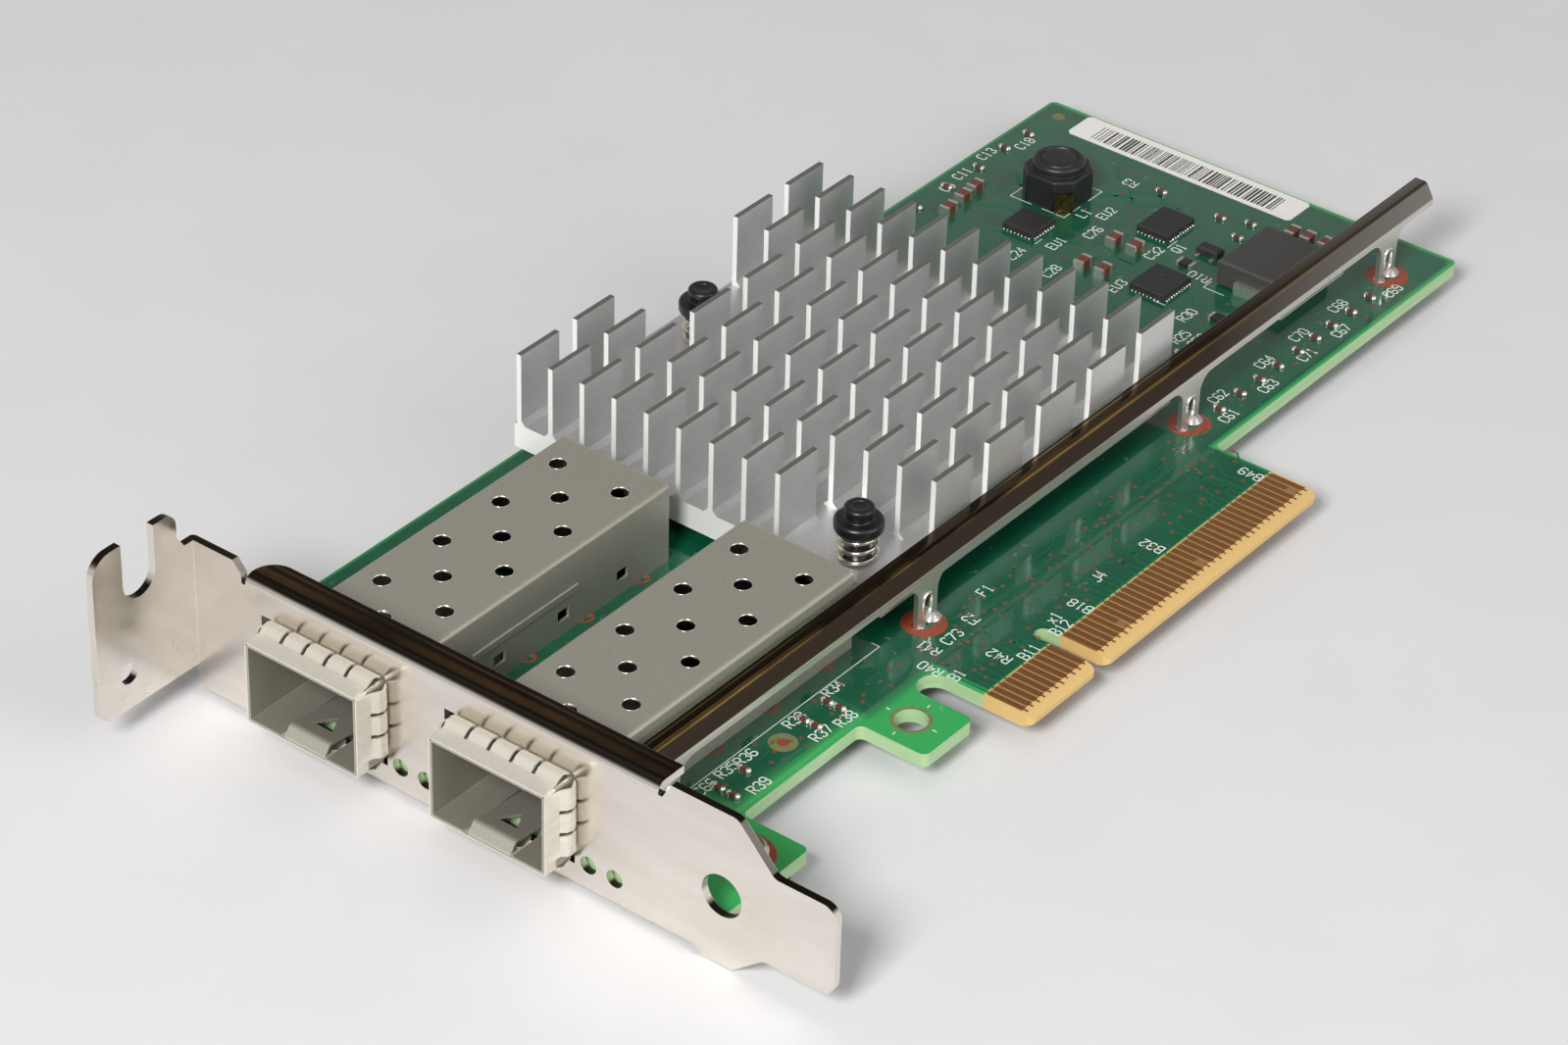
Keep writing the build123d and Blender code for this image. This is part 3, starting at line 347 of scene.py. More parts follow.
def makePlate(name, look):
    material, tree, shader = newMaterial(name, {"Metallic": 1.0})
    grain = useGrain(tree, look)
    edge = useGroup(tree, edgeGroup, radius=0.12 * mm, breakUp=0.4)
    place = axesOf(tree, "ShaderNodeTexCoord", "Object")
    waver = mapValue(tree, ownNoise(tree, 60.0, 1.0), 0, 1, -0.12 * mm, 0.12 * mm)
    across = mathNode(tree, "ADD", place[look["axis"]], waver)
    glints = 0.0
    for middle, half in look["lines"]:
        zero = card(middle, middle)[look["axis"]]
        away = mathNode(tree, "ABSOLUTE", mathNode(tree, "SUBTRACT", across, zero))
        line = mapValue(tree, away, 2 * half * mm, half * mm, kind="SMOOTHSTEP")
        glints = mathNode(tree, "MAXIMUM", glints, line)
    patches = mapValue(tree, ownNoise(tree, 45.0, 6.0), 0.42, 0.60, 0.0, look["strength"])
    glints = mathNode(tree, "MULTIPLY", glints, patches)
    # painted dark reflection of the room, crossed by painted glints of a warm light along the fold
    smoke = look["smoke"]
    if "fade" in look:  # the painted reflection and its glints clear towards the far end
        start, end, clear = look["fade"]
        smoke = mixColor(tree, mapValue(tree, place[0], card(start, 0).x, card(end, 0).x), smoke, clear)
        start, end, left = look["glintFade"]
        thin = mapValue(tree, place[0], card(start, 0).x, card(end, 0).x, 1.0, left)
        glints = mathNode(tree, "MULTIPLY", glints, thin)
    paintedReflection = mixColor(tree, glints, smoke, look["streak"])
    plain = mixColor(tree, grain["Mask"], look["plain"], look["shade"])
    # the painted reflection lies only on the faces that look up
    above = mapValue(tree, axesOf(tree, "ShaderNodeNewGeometry", "Normal")[2], *look["slope"])
    whole = mixColor(tree, above, plain, paintedReflection)
    # bright worn edges with painted edge highlights
    tree.links.new(mixColor(tree, edge["Mask"], whole, srgb(255, 252, 245)), shader.inputs["Base Color"])
    rough = mapValue(tree, grain["Mask"], 0, 1, *look["rough"])
    if "dullBelow" in look:  # the bar's legs under a level
        low = mathNode(tree, "SUBTRACT", 1.0, heightMask(tree, card(0, 0, look["dullBelow"]).z, 0.4))
        rough = mathNode(tree, "MULTIPLY_ADD", low, 0.26, rough)
    tree.links.new(rough, shader.inputs["Roughness"])
    addBump(tree, shader, grain["Height"], 0.05, 0.02)
    return material


finishes["solderMask"] = makeMask("solderMask", maskLook)
for name, look in plateLook.items():
    finishes[name] = makePlate(name, look)

# The nodes that each finish goes on
finishNodes = {
    "solderMask": "circuit_board", "contactGold": "edge_contacts_front edge_contacts_rear",
    "bracketNickel": "mounting_bracket", "springWire": "bracket_screws pin_springs",
    "cageNickel": "port_cage_a port_cage_b cage_floor_a cage_floor_b",
    "collarNickel": "cage_collar_a cage_collar_b", "blackNylon": "port_socket_a port_socket_b push_pins",
    "bareAluminium": "heat_sink", "padBlack": "thermal_pad",
    "chipEpoxy": "controller_chip driver_chip memory_chip regulator_chip transistor",
    "barPlate": "stiffener_bar", "legSolder": "bar_solder", "ferrite": "drum_inductor", "wornClip": "drum_clips",
    "chokePowder": "square_choke", "tin": "choke_terminals capacitor_ends resistor_ends",
    "brownCeramic": "large_capacitors", "resistorBlack": "chip_resistors", "smallCeramic": "small_passives",
    "lampLens": "status_lamps", "labelPaper": "paper_label",
}
for finish, names in finishNodes.items():
    for name in names.split():
        nodes[name].data.materials.clear()
        nodes[name].data.materials.append(finishes[finish])
print("finishes placed on", len(nodes), "nodes")

# Bends under an angle, in degrees, are shaded smooth on the nodes with folded or round forms
smoothAngles = {"cage_collar_a": 42, "cage_collar_b": 42, "bracket_screws": 32, "stiffener_bar": 32,
                "mounting_bracket": 32, "circuit_board": 32}


def makeSmoothing():  # joins the split corners first
    tree = bpy.data.node_groups.new("smoothByAngle", "GeometryNodeTree")
    for label, way, kind in (("Geometry", "INPUT", "NodeSocketGeometry"), ("Angle", "INPUT", floatKind),
                             ("Geometry", "OUTPUT", "NodeSocketGeometry")):
        tree.interface.new_socket(label, in_out=way, socket_type=kind)
    given, out = tree.nodes.new("NodeGroupInput"), tree.nodes.new("NodeGroupOutput")
    joined = addNode(tree, "GeometryNodeMergeByDistance", {"Geometry": given.outputs[0], "Distance": 1e-6})
    cleared = addNode(tree, "GeometryNodeRemoveAttribute", {"Geometry": joined.outputs[0],
                                                            "Name": "custom_normal"})
    bend = tree.nodes.new("GeometryNodeInputMeshEdgeAngle")
    gentle = addNode(tree, "FunctionNodeCompare", {0: bend.outputs[0], 1: given.outputs[1]},
                     operation="LESS_THAN")
    shaded = cleared
    for domain, smooth in (("EDGE", gentle.outputs[0]), ("FACE", True)):
        shaded = addNode(tree, "GeometryNodeSetShadeSmooth",
                         {"Geometry": shaded.outputs[0], "Shade Smooth": smooth}, domain=domain)
    tree.links.new(shaded.outputs[0], out.inputs[0])
    return tree


smoothingTree = makeSmoothing()
for name, angle in smoothAngles.items():
    smoothing = nodes[name].modifiers.new("smoothByAngle", "NODES")
    smoothing.node_group = smoothingTree
    smoothing["Socket_1"] = radians(angle)


# Piece builders, in the card's measures
def meshFrom(name, bm):
    mesh = bpy.data.meshes.new(name)
    bm.normal_update()
    bm.to_mesh(mesh)
    bm.free()
    return mesh


def addObject(name, data):
    thing = bpy.data.objects.new(name, data)
    scene.collection.objects.link(thing)
    return thing


def addPiece(name, bm, finish, turnOut=False):  # turnOut makes every face look outward first
    if turnOut:
        bmesh.ops.recalc_face_normals(bm, faces=bm.faces)
    mesh = meshFrom(name, bm)
    mesh.materials.append(finishes[finish])
    piece = addObject(name, mesh)
    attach(piece, "root")
    return piece


def addBlock(bm, x, y, z, long, wide, high, chamfer=0.0):  # its middle in plan and its lowest level
    made = bmesh.ops.create_cube(bm, size=1.0)["verts"]
    bmesh.ops.scale(bm, vec=(long * mm, wide * mm, high * mm), verts=made)
    bmesh.ops.translate(bm, vec=card(x, y, z + high / 2), verts=made)
    if chamfer:
        edges = list({e for v in made for e in v.link_edges})
        bmesh.ops.bevel(bm, geom=edges, offset=chamfer * mm, segments=2, affect="EDGES")


def addRing(bm, x, y, radius, level, sides, squash=1.0):
    turns = [2 * pi * i / sides for i in range(sides)]
    return [bm.verts.new(card(x + radius * cos(t), y + radius * squash * sin(t), level)) for t in turns]


def joinRings(bm, low, high, smooth=False):  # either may be a single point
    for i in range(max(len(low), len(high))):
        corners = [ring[k % len(ring)] for ring, k in ((low, i), (low, i + 1), (high, i + 1), (high, i))]
        bm.faces.new(list(dict.fromkeys(corners))).smooth = smooth


def joinLoop(bm, rings):  # the last ring joins the first, as on an eyelet
    for low, high in zip(rings, rings[1:] + rings[:1]):
        joinRings(bm, low, high, smooth=True)


def joinTube(bm, rings, smooth=False):  # from the lowest ring up, closed at both ends
    for low, high in zip(rings, rings[1:]):
        joinRings(bm, low, high, smooth)
    bm.faces.new(rings[0][::-1])
    bm.faces.new(rings[-1])


def addDisc(bm, x, y, z, radius, high, sides=20, inner=0.0):  # a washer where it has an inner radius
    low, top = (addRing(bm, x, y, radius, level, sides) for level in (z, z + high))
    if inner:
        lowIn, topIn = (addRing(bm, x, y, inner, level, sides) for level in (z, z + high))
        for a, b in ((low, top), (top, topIn), (topIn, lowIn), (lowIn, low)):
            joinRings(bm, a, b)
    else:
        joinTube(bm, (low, top))


def addDome(bm, x, y, z, radiusX, radiusY, high, shape=(2.0, 0.5), rings=4, sides=12):
    steps = [k / rings for k in range(1, rings + 1)]
    circles = [addRing(bm, x, y, radiusX * t, z + high * (1 - t ** shape[0]) ** shape[1], sides,
                       radiusY / radiusX) for t in steps]
    peak = [bm.verts.new(card(x, y, z + high))]
    for inner, outer in zip([peak] + circles, circles):
        joinRings(bm, outer, inner, smooth=True)
    bm.faces.new(circles[-1][::-1])


def addLathe(bm, x, y, profile, sides=40):  # (radius, level) pairs from the lowest centre to the top centre
    rings = [[bm.verts.new(card(x, y, level))] if radius == 0 else addRing(bm, x, y, radius, level, sides)
             for radius, level in profile]
    for low, high in zip(rings, rings[1:]):
        joinRings(bm, low, high, smooth=True)


def rounded(profile, radius=0.08, steps=3):  # rounds the corners of a lathe's profile
    result = [profile[0]]
    for before, here, after in zip(profile, profile[1:], profile[2:]):
        here, back, on = Vector(here), Vector(before) - Vector(here), Vector(after) - Vector(here)
        cut = min(radius, back.length * 0.45, on.length * 0.45)
        start, end = here + back.normalized() * cut, here + on.normalized() * cut
        for k in range(steps + 1):
            t = k / steps
            result.append(tuple((1 - t) ** 2 * start + 2 * t * (1 - t) * here + t ** 2 * end))
    return result + [profile[-1]]


def addStrip(bm, points, wide, z, high):  # a flat line of constant width through points in plan
    rings = []
    for i, (x, y) in enumerate(points):
        before, here = Vector(points[max(i - 1, 0)]), Vector((x, y))
        after = Vector(points[min(i + 1, len(points) - 1)])
        into = (here - before).normalized() if i else (after - here).normalized()
        away = (after - here).normalized() if i < len(points) - 1 else into
        along = (into + away).normalized()
        side = Vector((-along.y, along.x)) * (wide / 2) / max(0.5, along.dot(into))
        rings.append([bm.verts.new(card(x + way * side.x, y + way * side.y, level))
                      for way, level in ((1, z), (-1, z), (-1, z + high), (1, z + high))])
    joinTube(bm, rings[::-1])


# Silk print: designators, outlines and ticks. A letter is runs of points on a grid 4 wide and 6 high
silkLook = {"letterHigh": 1.24, "letterWide": 0.68, "advance": 0.94, "pen": 0.14, "lineWide": 0.10, "level": 0.004,
            "raise": 0.012, "tick": (2.6, 3.068), "tickWide": 0.12}
strokes = {
    "0": "10 30 41 45 36 16 05 01 10", "1": "10 30|20 26 15", "2": "05 16 36 45 44 00 40",
    "3": "05 16 36 45 44 33 23|33 42 41 30 10 01", "4": "30 36 02 42", "5": "46 06 04 34 43 41 30 10 01",
    "6": "45 36 16 05 01 10 30 41 42 33 03", "7": "06 46 45 10",
    "8": "13 04 05 16 36 45 44 33 13 02 01 10 30 41 42 33", "9": "01 10 30 41 45 36 16 05 04 13 43",
    "B": "03 33 44 45 36 06 00 30 41 42 33", "C": "45 36 16 05 01 10 30 41", "E": "46 06 00 40|03 33",
    "F": "46 06 00|03 33", "J": "46 41 30 10 01", "L": "06 00 40", "Q": "10 30 41 45 36 16 05 01 10|22 40",
    "R": "00 06 36 45 44 33 03|23 40", "U": "06 01 10 30 41 46", "x": "00 44|04 40"
}
flatLabels = [
    ("R33", -28.6, 17.0), ("R34", -22.1, 17.3), ("R37", -28.6, 13.7), ("R38", -25.2, 13.3), ("R36", -36.3, 17.0),
    ("R35", -39.1, 17.1), ("C66", -42.5, 17.0), ("R39", -39.0, 13.2), ("F1", 1.5, 15.6), ("C73", -7.6, 13.4),
    ("B1", -12.0, 9.2), ("B11", -4.7, 5.95), ("C24", 55.9, 51.4), ("EU1", 60.6, 49.2), ("C26", 65.2, 47.4),
    ("C28", 55.4, 46.2), ("EU2", 69.6, 48.6), ("C32", 66.0, 39.6), ("Q1", 69.1, 38.0), ("L1", 68.4, 50.6),
    ("EU3", 57.6, 38.8), ("R30", 57.6, 29.4), ("R25", 53.4, 27.4), ("C53", 54.1, 25.6), ("C61", 43.8, 14.6),
    ("C62", 46.2, 17.6), ("C63", 51.4, 14.6), ("C64", 55.2, 17.6), ("C70", 62.2, 17.7), ("C71", 59.4, 14.8),
    ("C67", 65.9, 14.6), ("C68", 70.0, 17.7), ("J4", 10.9, 8.2), ("x1", 2.1, 7.5), ("B12", 0.7, 5.95),
    ("C13", 71.5, 66.9), ("C11", 66.1, 66.4), ("C18", 76.3, 64.9), ("C5", 63.0, 65.9), ("C69", 76.6, 14.7)
]
turnedLabels = [
    ("R42", -5.3, 7.2), ("R41", -8.7, 13.4), ("R40", -11.4, 11.2), ("F2", -2.0, 13.6), ("B49", 37.9, 5.95),
    ("B32", 20.3, 6.4), ("B18", 6.9, 5.95), ("R10", 67.0, 32.2), ("R3", 78.8, 50.2)
]
silkOutlines = [
    [(67.0, 55.5), (67.0, 52.4), (70.2, 52.4)], [(74.5, 55.3), (74.5, 52.4), (71.8, 52.4)],
    [(67.0, 57.0), (67.0, 59.9), (70.2, 59.9)], [(64.8, 22.4), (64.8, 21.6), (77.5, 21.6)],
    [(64.9, 29.2), (64.9, 31.9), (66.5, 31.9)], [(59.0, 33.0), (59.0, 34.6)], [(69.2, 39.7), (71.2, 39.7)],
    [(60.2, 51.6), (61.6, 51.6)], [(-13.4, 42.0), (-11.4, 42.0), (-11.4, 36.8)],
    [(-45.5, 18.6), (-12.3, 18.6), (-12.3, 19.6)], [(-54.0, 60.2), (-15.0, 60.2)]
]
rearLabels = [
    ("C81", 66.0, 60.0), ("C82", 60.0, 60.0), ("R52", 50.0, 57.0), ("R53", 50.0, 53.5), ("C84", 30.0, 62.0),
    ("C85", 24.0, 62.0), ("R60", -2.0, 62.0), ("R61", -8.0, 62.0), ("C90", 74.0, 40.0), ("C91", 74.0, 36.0),
    ("R70", 8.0, 13.0), ("R71", 24.0, 13.0), ("J4", 13.0, 8.2)
]


def writeLabel(bm, text, x, y, turn, level, mirror=1):  # its first letter's foot at x, y
    cellX, cellY = silkLook["letterWide"] / 4, silkLook["letterHigh"] / 6
    for place, letter in enumerate(text):
        for run in strokes[letter].split("|"):
            points = []
            for column, row in run.split():
                u = (place * silkLook["advance"] + int(column) * cellX) * mirror
                v = int(row) * cellY
                points.append((x + u * cos(turn) - v * sin(turn), y + u * sin(turn) + v * cos(turn)))
            addStrip(bm, points, silkLook["pen"], level, silkLook["raise"])


def printSilk():
    look = silkLook
    bm = bmesh.new()
    for labels, turn in ((flatLabels, 0.0), (turnedLabels, pi / 2)):
        for text, x, y in labels:
            writeLabel(bm, text, x, y, turn, look["level"])
    for points in silkOutlines:
        addStrip(bm, points, look["lineWide"], look["level"], look["raise"])
    holeX, holeY = boardData["lugHole"]
    for dx, dy in ((1, 0), (-1, 0), (0, 1), (0, -1)):
        points = [(holeX + dx * out, holeY + dy * out) for out in look["tick"]]
        addStrip(bm, points, look["tickWide"], look["level"], look["raise"])
    for text, x, y in rearLabels:
        writeLabel(bm, text, x, y, 0.0, rearLevel(look["raise"], look["level"]), mirror=-1)
    addPiece("silkPrint", bm, "whiteInk", turnOut=True)


printSilk()
print("silk print done")

# Edge contacts: pale lines between them, and stubs of the plating bar on the bevel
contactLook = {"count": 49, "first": -11.5, "keyAfter": 10, "keyGap": 2.0, "seed": 3, "level": 0.002,
               "raise": 0.012, "line": 0.07, "lineFrom": 1.55, "lineTo": 5.75, "stub": 0.24, "stubTop": 1.75,
               "stubEnd": (0.85, 1.15)}


def contactX(i):
    return contactLook["first"] + i + (contactLook["keyGap"] if i > contactLook["keyAfter"] else 0)


def finishContacts():
    look = contactLook
    lines, stubs = bmesh.new(), bmesh.new()
    draw = random.Random(look["seed"])
    for i in range(look["count"]):
        x = contactX(i)
        if i not in (look["keyAfter"], look["count"] - 1):
            points = [(x + 0.5, look["lineFrom"]), (x + 0.5, look["lineTo"])]
            addStrip(lines, points, look["line"], look["level"], look["raise"])
        points = [(x, look["stubTop"]), (x, draw.uniform(*look["stubEnd"]))]
        addStrip(stubs, points, look["stub"], look["level"], look["raise"])
    addPiece("contactGaps", lines, "paleLaminate")
    addPiece("platingStubs", stubs, "contactGold")


# Copper seen through the mask: fine traces with a via at many of their ends, more vias, and bare rings.
# fan runs up from the contacts, bar runs below the stiffener bar, power round the power parts, rear on the back
traceLook = {
    "seed": 11, "level": 0.002, "raise": 0.012, "farEdge": 66,
    "fan": {"skipped": 0.25, "from": 5.7, "bend": 6.0, "step": (0.4, 1.8), "rise": (0.8, 5.0), "tip": (0.3, 2.2),
            "wide": 0.2},
    "bar": {"count": 26, "x": (-38, 66), "y": (13.6, 16.8), "long": (3, 9), "jog": (0.3, 0.9), "wide": 0.15,
            "stepX": 36, "stepY": 15.4},
    "power": {"count": 40, "x": (45, 80), "y": (24, 64), "long": (2, 6), "jog": (0.5, 2.0), "wide": 0.3},
    "rear": {"count": 60, "x": -10, "pitch": 0.8, "y": 6.0, "stagger": 0.3, "rows": 9, "long": (8, 22),
             "jog": (2, 7), "tip": (2, 8), "wide": 0.16, "lastX": 38},
}


def drawRun(draw, look):  # where a run starts, its length and its sidestep
    x, y, long = (draw.uniform(*look[key]) for key in ("x", "y", "long"))
    return x, y, long, draw.choice((-1, 1)) * draw.uniform(*look["jog"])


def drawTraces():
    draw = random.Random(traceLook["seed"])
    front, high = traceLook["level"], traceLook["raise"]
    bm = bmesh.new()
    ends = []
    look = traceLook["fan"]
    for i in range(contactLook["count"]):
        if draw.random() < look["skipped"]:
            continue
        x = contactX(i)
        step = draw.choice((-1, 1)) * draw.uniform(*look["step"])
        bend = look["bend"] + draw.uniform(*look["rise"])
        turn = bend + abs(step)
        ends.append((x + step, turn + draw.uniform(*look["tip"])))
        addStrip(bm, [(x, look["from"]), (x, bend), (x + step, turn), ends[-1]], look["wide"], front, high)
    look = traceLook["bar"]
    for _ in range(look["count"]):
        x, y, long, jog = drawRun(draw, look)
        if y + jog < look["y"][0] or (x > look["stepX"] and y < look["stepY"]):
            continue
        ends.append((x + long, y + jog))
        addStrip(bm, [(x, y), (x + long / 2, y), (x + long / 2 + abs(jog), y + jog), ends[-1]], look["wide"],
                 front, high)
    look = traceLook["power"]
    for _ in range(look["count"]):
        x, y, long, jog = drawRun(draw, look)
        if y + long < traceLook["farEdge"]:
            addStrip(bm, [(x, y), (x, y + long / 2), (x + jog, y + long / 2 + abs(jog)), (x + jog, y + long)],
                     look["wide"], front, high)
    look = traceLook["rear"]
    for i in range(look["count"]):
        x, y = look["x"] + look["pitch"] * i, look["y"] + look["stagger"] * (i % look["rows"])
        bend = y + draw.uniform(*look["long"])
        jog = draw.uniform(*look["jog"]) * (1 if i % 2 else -1)
        turn = bend + abs(jog)
        tip = turn + draw.uniform(*look["tip"])
        if tip < traceLook["farEdge"] and x < look["lastX"]:
            addStrip(bm, [(x, y), (x, bend), (x + jog, turn), (x + jog, tip)], look["wide"],
                     rearLevel(high, front), high)
    addPiece("maskTraces", bm, "traceMask")
    return ends


viaLook = {"seed": 5, "radius": 0.24, "hole": 0.1, "level": 0.003, "raise": 0.02, "apartSquared": 0.6, "sides": 10,
           "fields": ((-10, 37, 7, 16.5, 120), (-40, -14, 13.8, 18.5, 26), (42, 84, 14.5, 17, 30),
                      (44, 82, 22, 66, 120), (-52, -14, 36, 43, 22), (-52, -12, 60, 67, 14))}


def drillVias(ends):
    look = viaLook
    draw = random.Random(look["seed"])
    spots = list(ends)
    for x0, x1, y0, y1, count in look["fields"]:
        spots += [(draw.uniform(x0, x1), draw.uniform(y0, y1)) for _ in range(count)]
    bm = bmesh.new()
    kept = []
    for x, y in spots:
        if any((x - a) ** 2 + (y - b) ** 2 < look["apartSquared"] for a, b in kept):
            continue
        kept.append((x, y))
        for level in (look["level"], rearLevel(look["raise"], look["level"])):
            addDisc(bm, x, y, level, look["radius"], look["raise"], look["sides"], inner=look["hole"])
    addPiece("viaRings", bm, "viaCopper")


finishContacts()
drillVias(drawTraces())

# Bare copper round the bar's legs, the bracket's screws and the cages' pins
ringLook = {"level": 0.003, "raise": 0.006, "legs": (-47.0, -6.2, 41.05, 80.2), "legY": 17.6,
            "legSize": (2.4, 0.97), "screws": ((-47.3, 8.8), (-47.3, 63.4)), "screwSize": (3.7, 1.62),
            "pinFirst": -18.4, "pinPitch": 8.85, "pinOut": 6.925, "pinSize": (0.95, 0.62), "padRadius": 0.55,
            "lugSize": (2.15, 1.77), "padSize": (1.5, 0.6), "mark": (85.2, 66.1), "markRadius": 0.75,
            "markRaise": 0.02}


def layRings():
    look, high = ringLook, ringLook["raise"]
    bm = bmesh.new()
    spots = [(x, look["legY"], look["legSize"], 40) for x in look["legs"]]
    spots += [(x, y, look["screwSize"], 40) for x, y in look["screws"]]
    spots += [(look["pinFirst"] - look["pinPitch"] * i, row + side * look["pinOut"], look["pinSize"], 20)
              for row in boardData["cageRows"] for side in (-1, 1) for i in range(4)]
    for level in (look["level"], rearLevel(high, look["level"])):
        for x, y, (radius, inner), sides in spots:
            addDisc(bm, x, y, level, radius, high, sides, inner)
    addDisc(bm, *boardData["pad"], look["level"], look["padRadius"], high, 24)
    addPiece("keepOutRings", bm, "keepOutCopper")
    bm = bmesh.new()
    for place, (radius, inner), level, thick, sides in (
            (boardData["lugHole"], look["lugSize"], look["level"], high, 40),
            (boardData["pad"], look["padSize"], look["level"] - 0.001, high / 2, 32),
            (look["mark"], (look["markRadius"], 0.0), look["level"], look["markRaise"], 24)):
        addDisc(bm, *place, level, radius, thick, sides, inner)
    addPiece("laminateRings", bm, "bareLaminate")


layRings()
print("copper details done")

# Chip leads, and solder on the small parts' ends and at the bar's legs
leadLook = {"chips": ("driver_chip", "memory_chip", "regulator_chip"), "pitch": 0.5, "wide": 0.25, "long": 0.42,
            "high": 0.2, "corner": 0.6, "out": 0.12, "level": 0.005,
            "legs": ((-1.1, -0.95), (-1.1, 0.95), (1.1, 0.0)), "legSize": (0.6, 0.4, 0.18), "legLevel": 0.01}


def addLeads():
    look = leadLook
    bm = bmesh.new()
    for name in look["chips"]:
        (x0, y0, _), (x1, y1, _) = cardBox(name)
        for a, b, edges, across in ((x0, x1, (y0, y1), False), (y0, y1, (x0, x1), True)):
            count = int((b - a - look["corner"]) / look["pitch"])
            for i in range(count + 1):
                place = (a + b) / 2 + (i - count / 2) * look["pitch"]
                for edge, way in zip(edges, (-1, 1)):
                    spot, size = (place, edge + way * look["out"]), (look["wide"] / 2, look["long"] / 2)
                    if across:
                        spot, size = spot[::-1], size[::-1]
                    addDome(bm, *spot, look["level"], *size, look["high"], rings=3, sides=8)
    (x0, y0, _), (x1, y1, _) = cardBox("transistor")
    for dx, dy in look["legs"]:
        addBlock(bm, (x0 + x1) / 2 + dx, (y0 + y1) / 2 + dy, look["legLevel"], *look["legSize"], chamfer=0.04)
    addPiece("chipLeads", bm, "tin")


endLook = {"out": 0.52, "level": 0.004, "size": (0.42, 0.36, 0.5), "places": [
    (74.96, 16.5), (71.13, 16.5), (67.41, 16.6), (64.05, 16.6), (60.54, 16.5), (56.67, 16.6), (53.07, 16.6),
    (49.48, 16.7), (45.48, 16.7), (-23.0, 16.9), (-23.0, 15.4), (-26.8, 16.9), (-26.8, 15.4), (-40.6, 16.5),
    (-36.75, 16.4), (-40.6, 14.7), (69.6, 66.3), (75.1, 66.6), (79.5, 66.4), (63.7, 66.5), (57.9, 66.5),
    (78.7, 47.1), (78.3, 38.7), (76.0, 34.8), (79.4, 35.3), (51.8, 26.0)
]}


def addSolderEnds():
    look = endLook
    bm = bmesh.new()
    for x, y in look["places"]:
        for side in (-1, 1):
            addDome(bm, x, y + side * look["out"], look["level"], *look["size"])
    addPiece("smallSolder", bm, "tin")


# Each leg of the bar and how far beside it the big mound of solder stands, with a small one behind
moundLook = {"places": ((-47.0, 1.2), (-6.0, 1.15), (40.8, 1.15), (79.8, 1.15)), "y": 17.75, "level": 0.004,
             "shape": (1.5, 1.1), "big": (1.25, 1.1875, 0.95), "small": (0.8, 0.75, 0.4), "smallOut": -0.9}


def addMounds():
    look = moundLook
    bm = bmesh.new()
    for x, out in look["places"]:
        addDome(bm, x + out, look["y"], look["level"], *look["big"], look["shape"], 8, 24)
        addDome(bm, x + look["smallOut"], look["y"], look["level"], *look["small"], look["shape"], 5, 20)
    piece = addPiece("legSolder", bm, "legSolder")
    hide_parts("bar_solder")


# Pressed rims round the long holes in the bar's legs; the section is (radius, y) pairs
eyeletLook = {"level": 2.4, "reach": 0.6, "sides": 24, "section": (
    (0.54, 17.34), (0.62, 17.26), (0.76, 17.27), (0.83, 17.36), (0.83, 17.99), (0.76, 18.08), (0.62, 18.09),
    (0.54, 18.01))}


def rimEyelets():
    look = eyeletLook
    bm = bmesh.new()
    turns = [2 * pi * i / look["sides"] for i in range(look["sides"])]
    for x, _ in moundLook["places"]:
        rings = []
        for radius, y in look["section"]:
            ends = [look["level"] + look["reach"] * (1 if sin(t) >= 0 else -1) for t in turns]
            rings.append([bm.verts.new(card(x + radius * cos(t), y, end + radius * sin(t)))
                          for t, end in zip(turns, ends)])
        joinLoop(bm, rings)
    addPiece("legEyelets", bm, "tin", turnOut=True)


addLeads()
addSolderEnds()
addMounds()
rimEyelets()

# Bars on the paper label, with no code behind them
barLook = {"seed": 29, "x": (83.5, 86.6), "y": (35.2, 60.5), "level": 0.1, "raise": 0.006,
           "wide": (0.12, 0.12, 0.2, 0.3), "gap": (0.12, 0.15, 0.22, 0.34)}


def printBars():
    look = barLook
    draw = random.Random(look["seed"])
    bm = bmesh.new()
    (x0, x1), (y, lastY) = look["x"], look["y"]
    while y < lastY:
        wide = draw.choice(look["wide"])
        addBlock(bm, (x0 + x1) / 2, y + wide / 2, look["level"], x1 - x0, wide, look["raise"])
        y += wide + draw.choice(look["gap"])
    addPiece("labelBars", bm, "labelInk")


printBars()

# Contact springs on both sides of the card slot in the two sockets
socketLook = {"count": 10, "pitch": 0.8, "wide": 0.34, "slotHeight": 0.56, "out": 0.5, "back": 2.4, "long": 4.6,
              "thick": 0.12}


def addSocketSprings():
    look = socketLook
    bm = bmesh.new()
    for name in ("port_socket_a", "port_socket_b"):
        (x0, y0, _), (_, y1, z1) = cardBox(name)
        for i in range(look["count"]):
            y = (y0 + y1) / 2 + (i - (look["count"] - 1) / 2) * look["pitch"]
            for side in (-1, 1):
                z = z1 * look["slotHeight"] + side * look["out"] - look["thick"] / 2
                addBlock(bm, x0 + look["back"], y, z, look["long"], look["wide"], look["thick"])
    addPiece("socketSprings", bm, "contactGold")


addSocketSprings()

# Drawn rims that line the cages' vents; the section is (radius, height over the cage's top)
ventLook = {"first": -18.4, "pitch": 8.9, "row": 4.07, "stagger": 4.55, "top": 9.25, "sides": 32,
            "section": ((1.05, 0.006), (1.0, 0.014), (0.93, -0.05), (0.93, -0.32), (1.05, -0.32))}


def lineVents():
    look = ventLook
    bm = bmesh.new()
    for cageY in boardData["cageRows"]:
        for i in range(4):
            x = look["first"] - i * look["pitch"]
            for ventX, ventY in ((x, cageY - look["row"]), (x, cageY + look["row"]), (x - look["stagger"], cageY)):
                joinLoop(bm, [addRing(bm, ventX, ventY, radius, look["top"] + level, look["sides"])
                              for radius, level in look["section"]])
    addPiece("ventRims", bm, "brightRim")


lineVents()

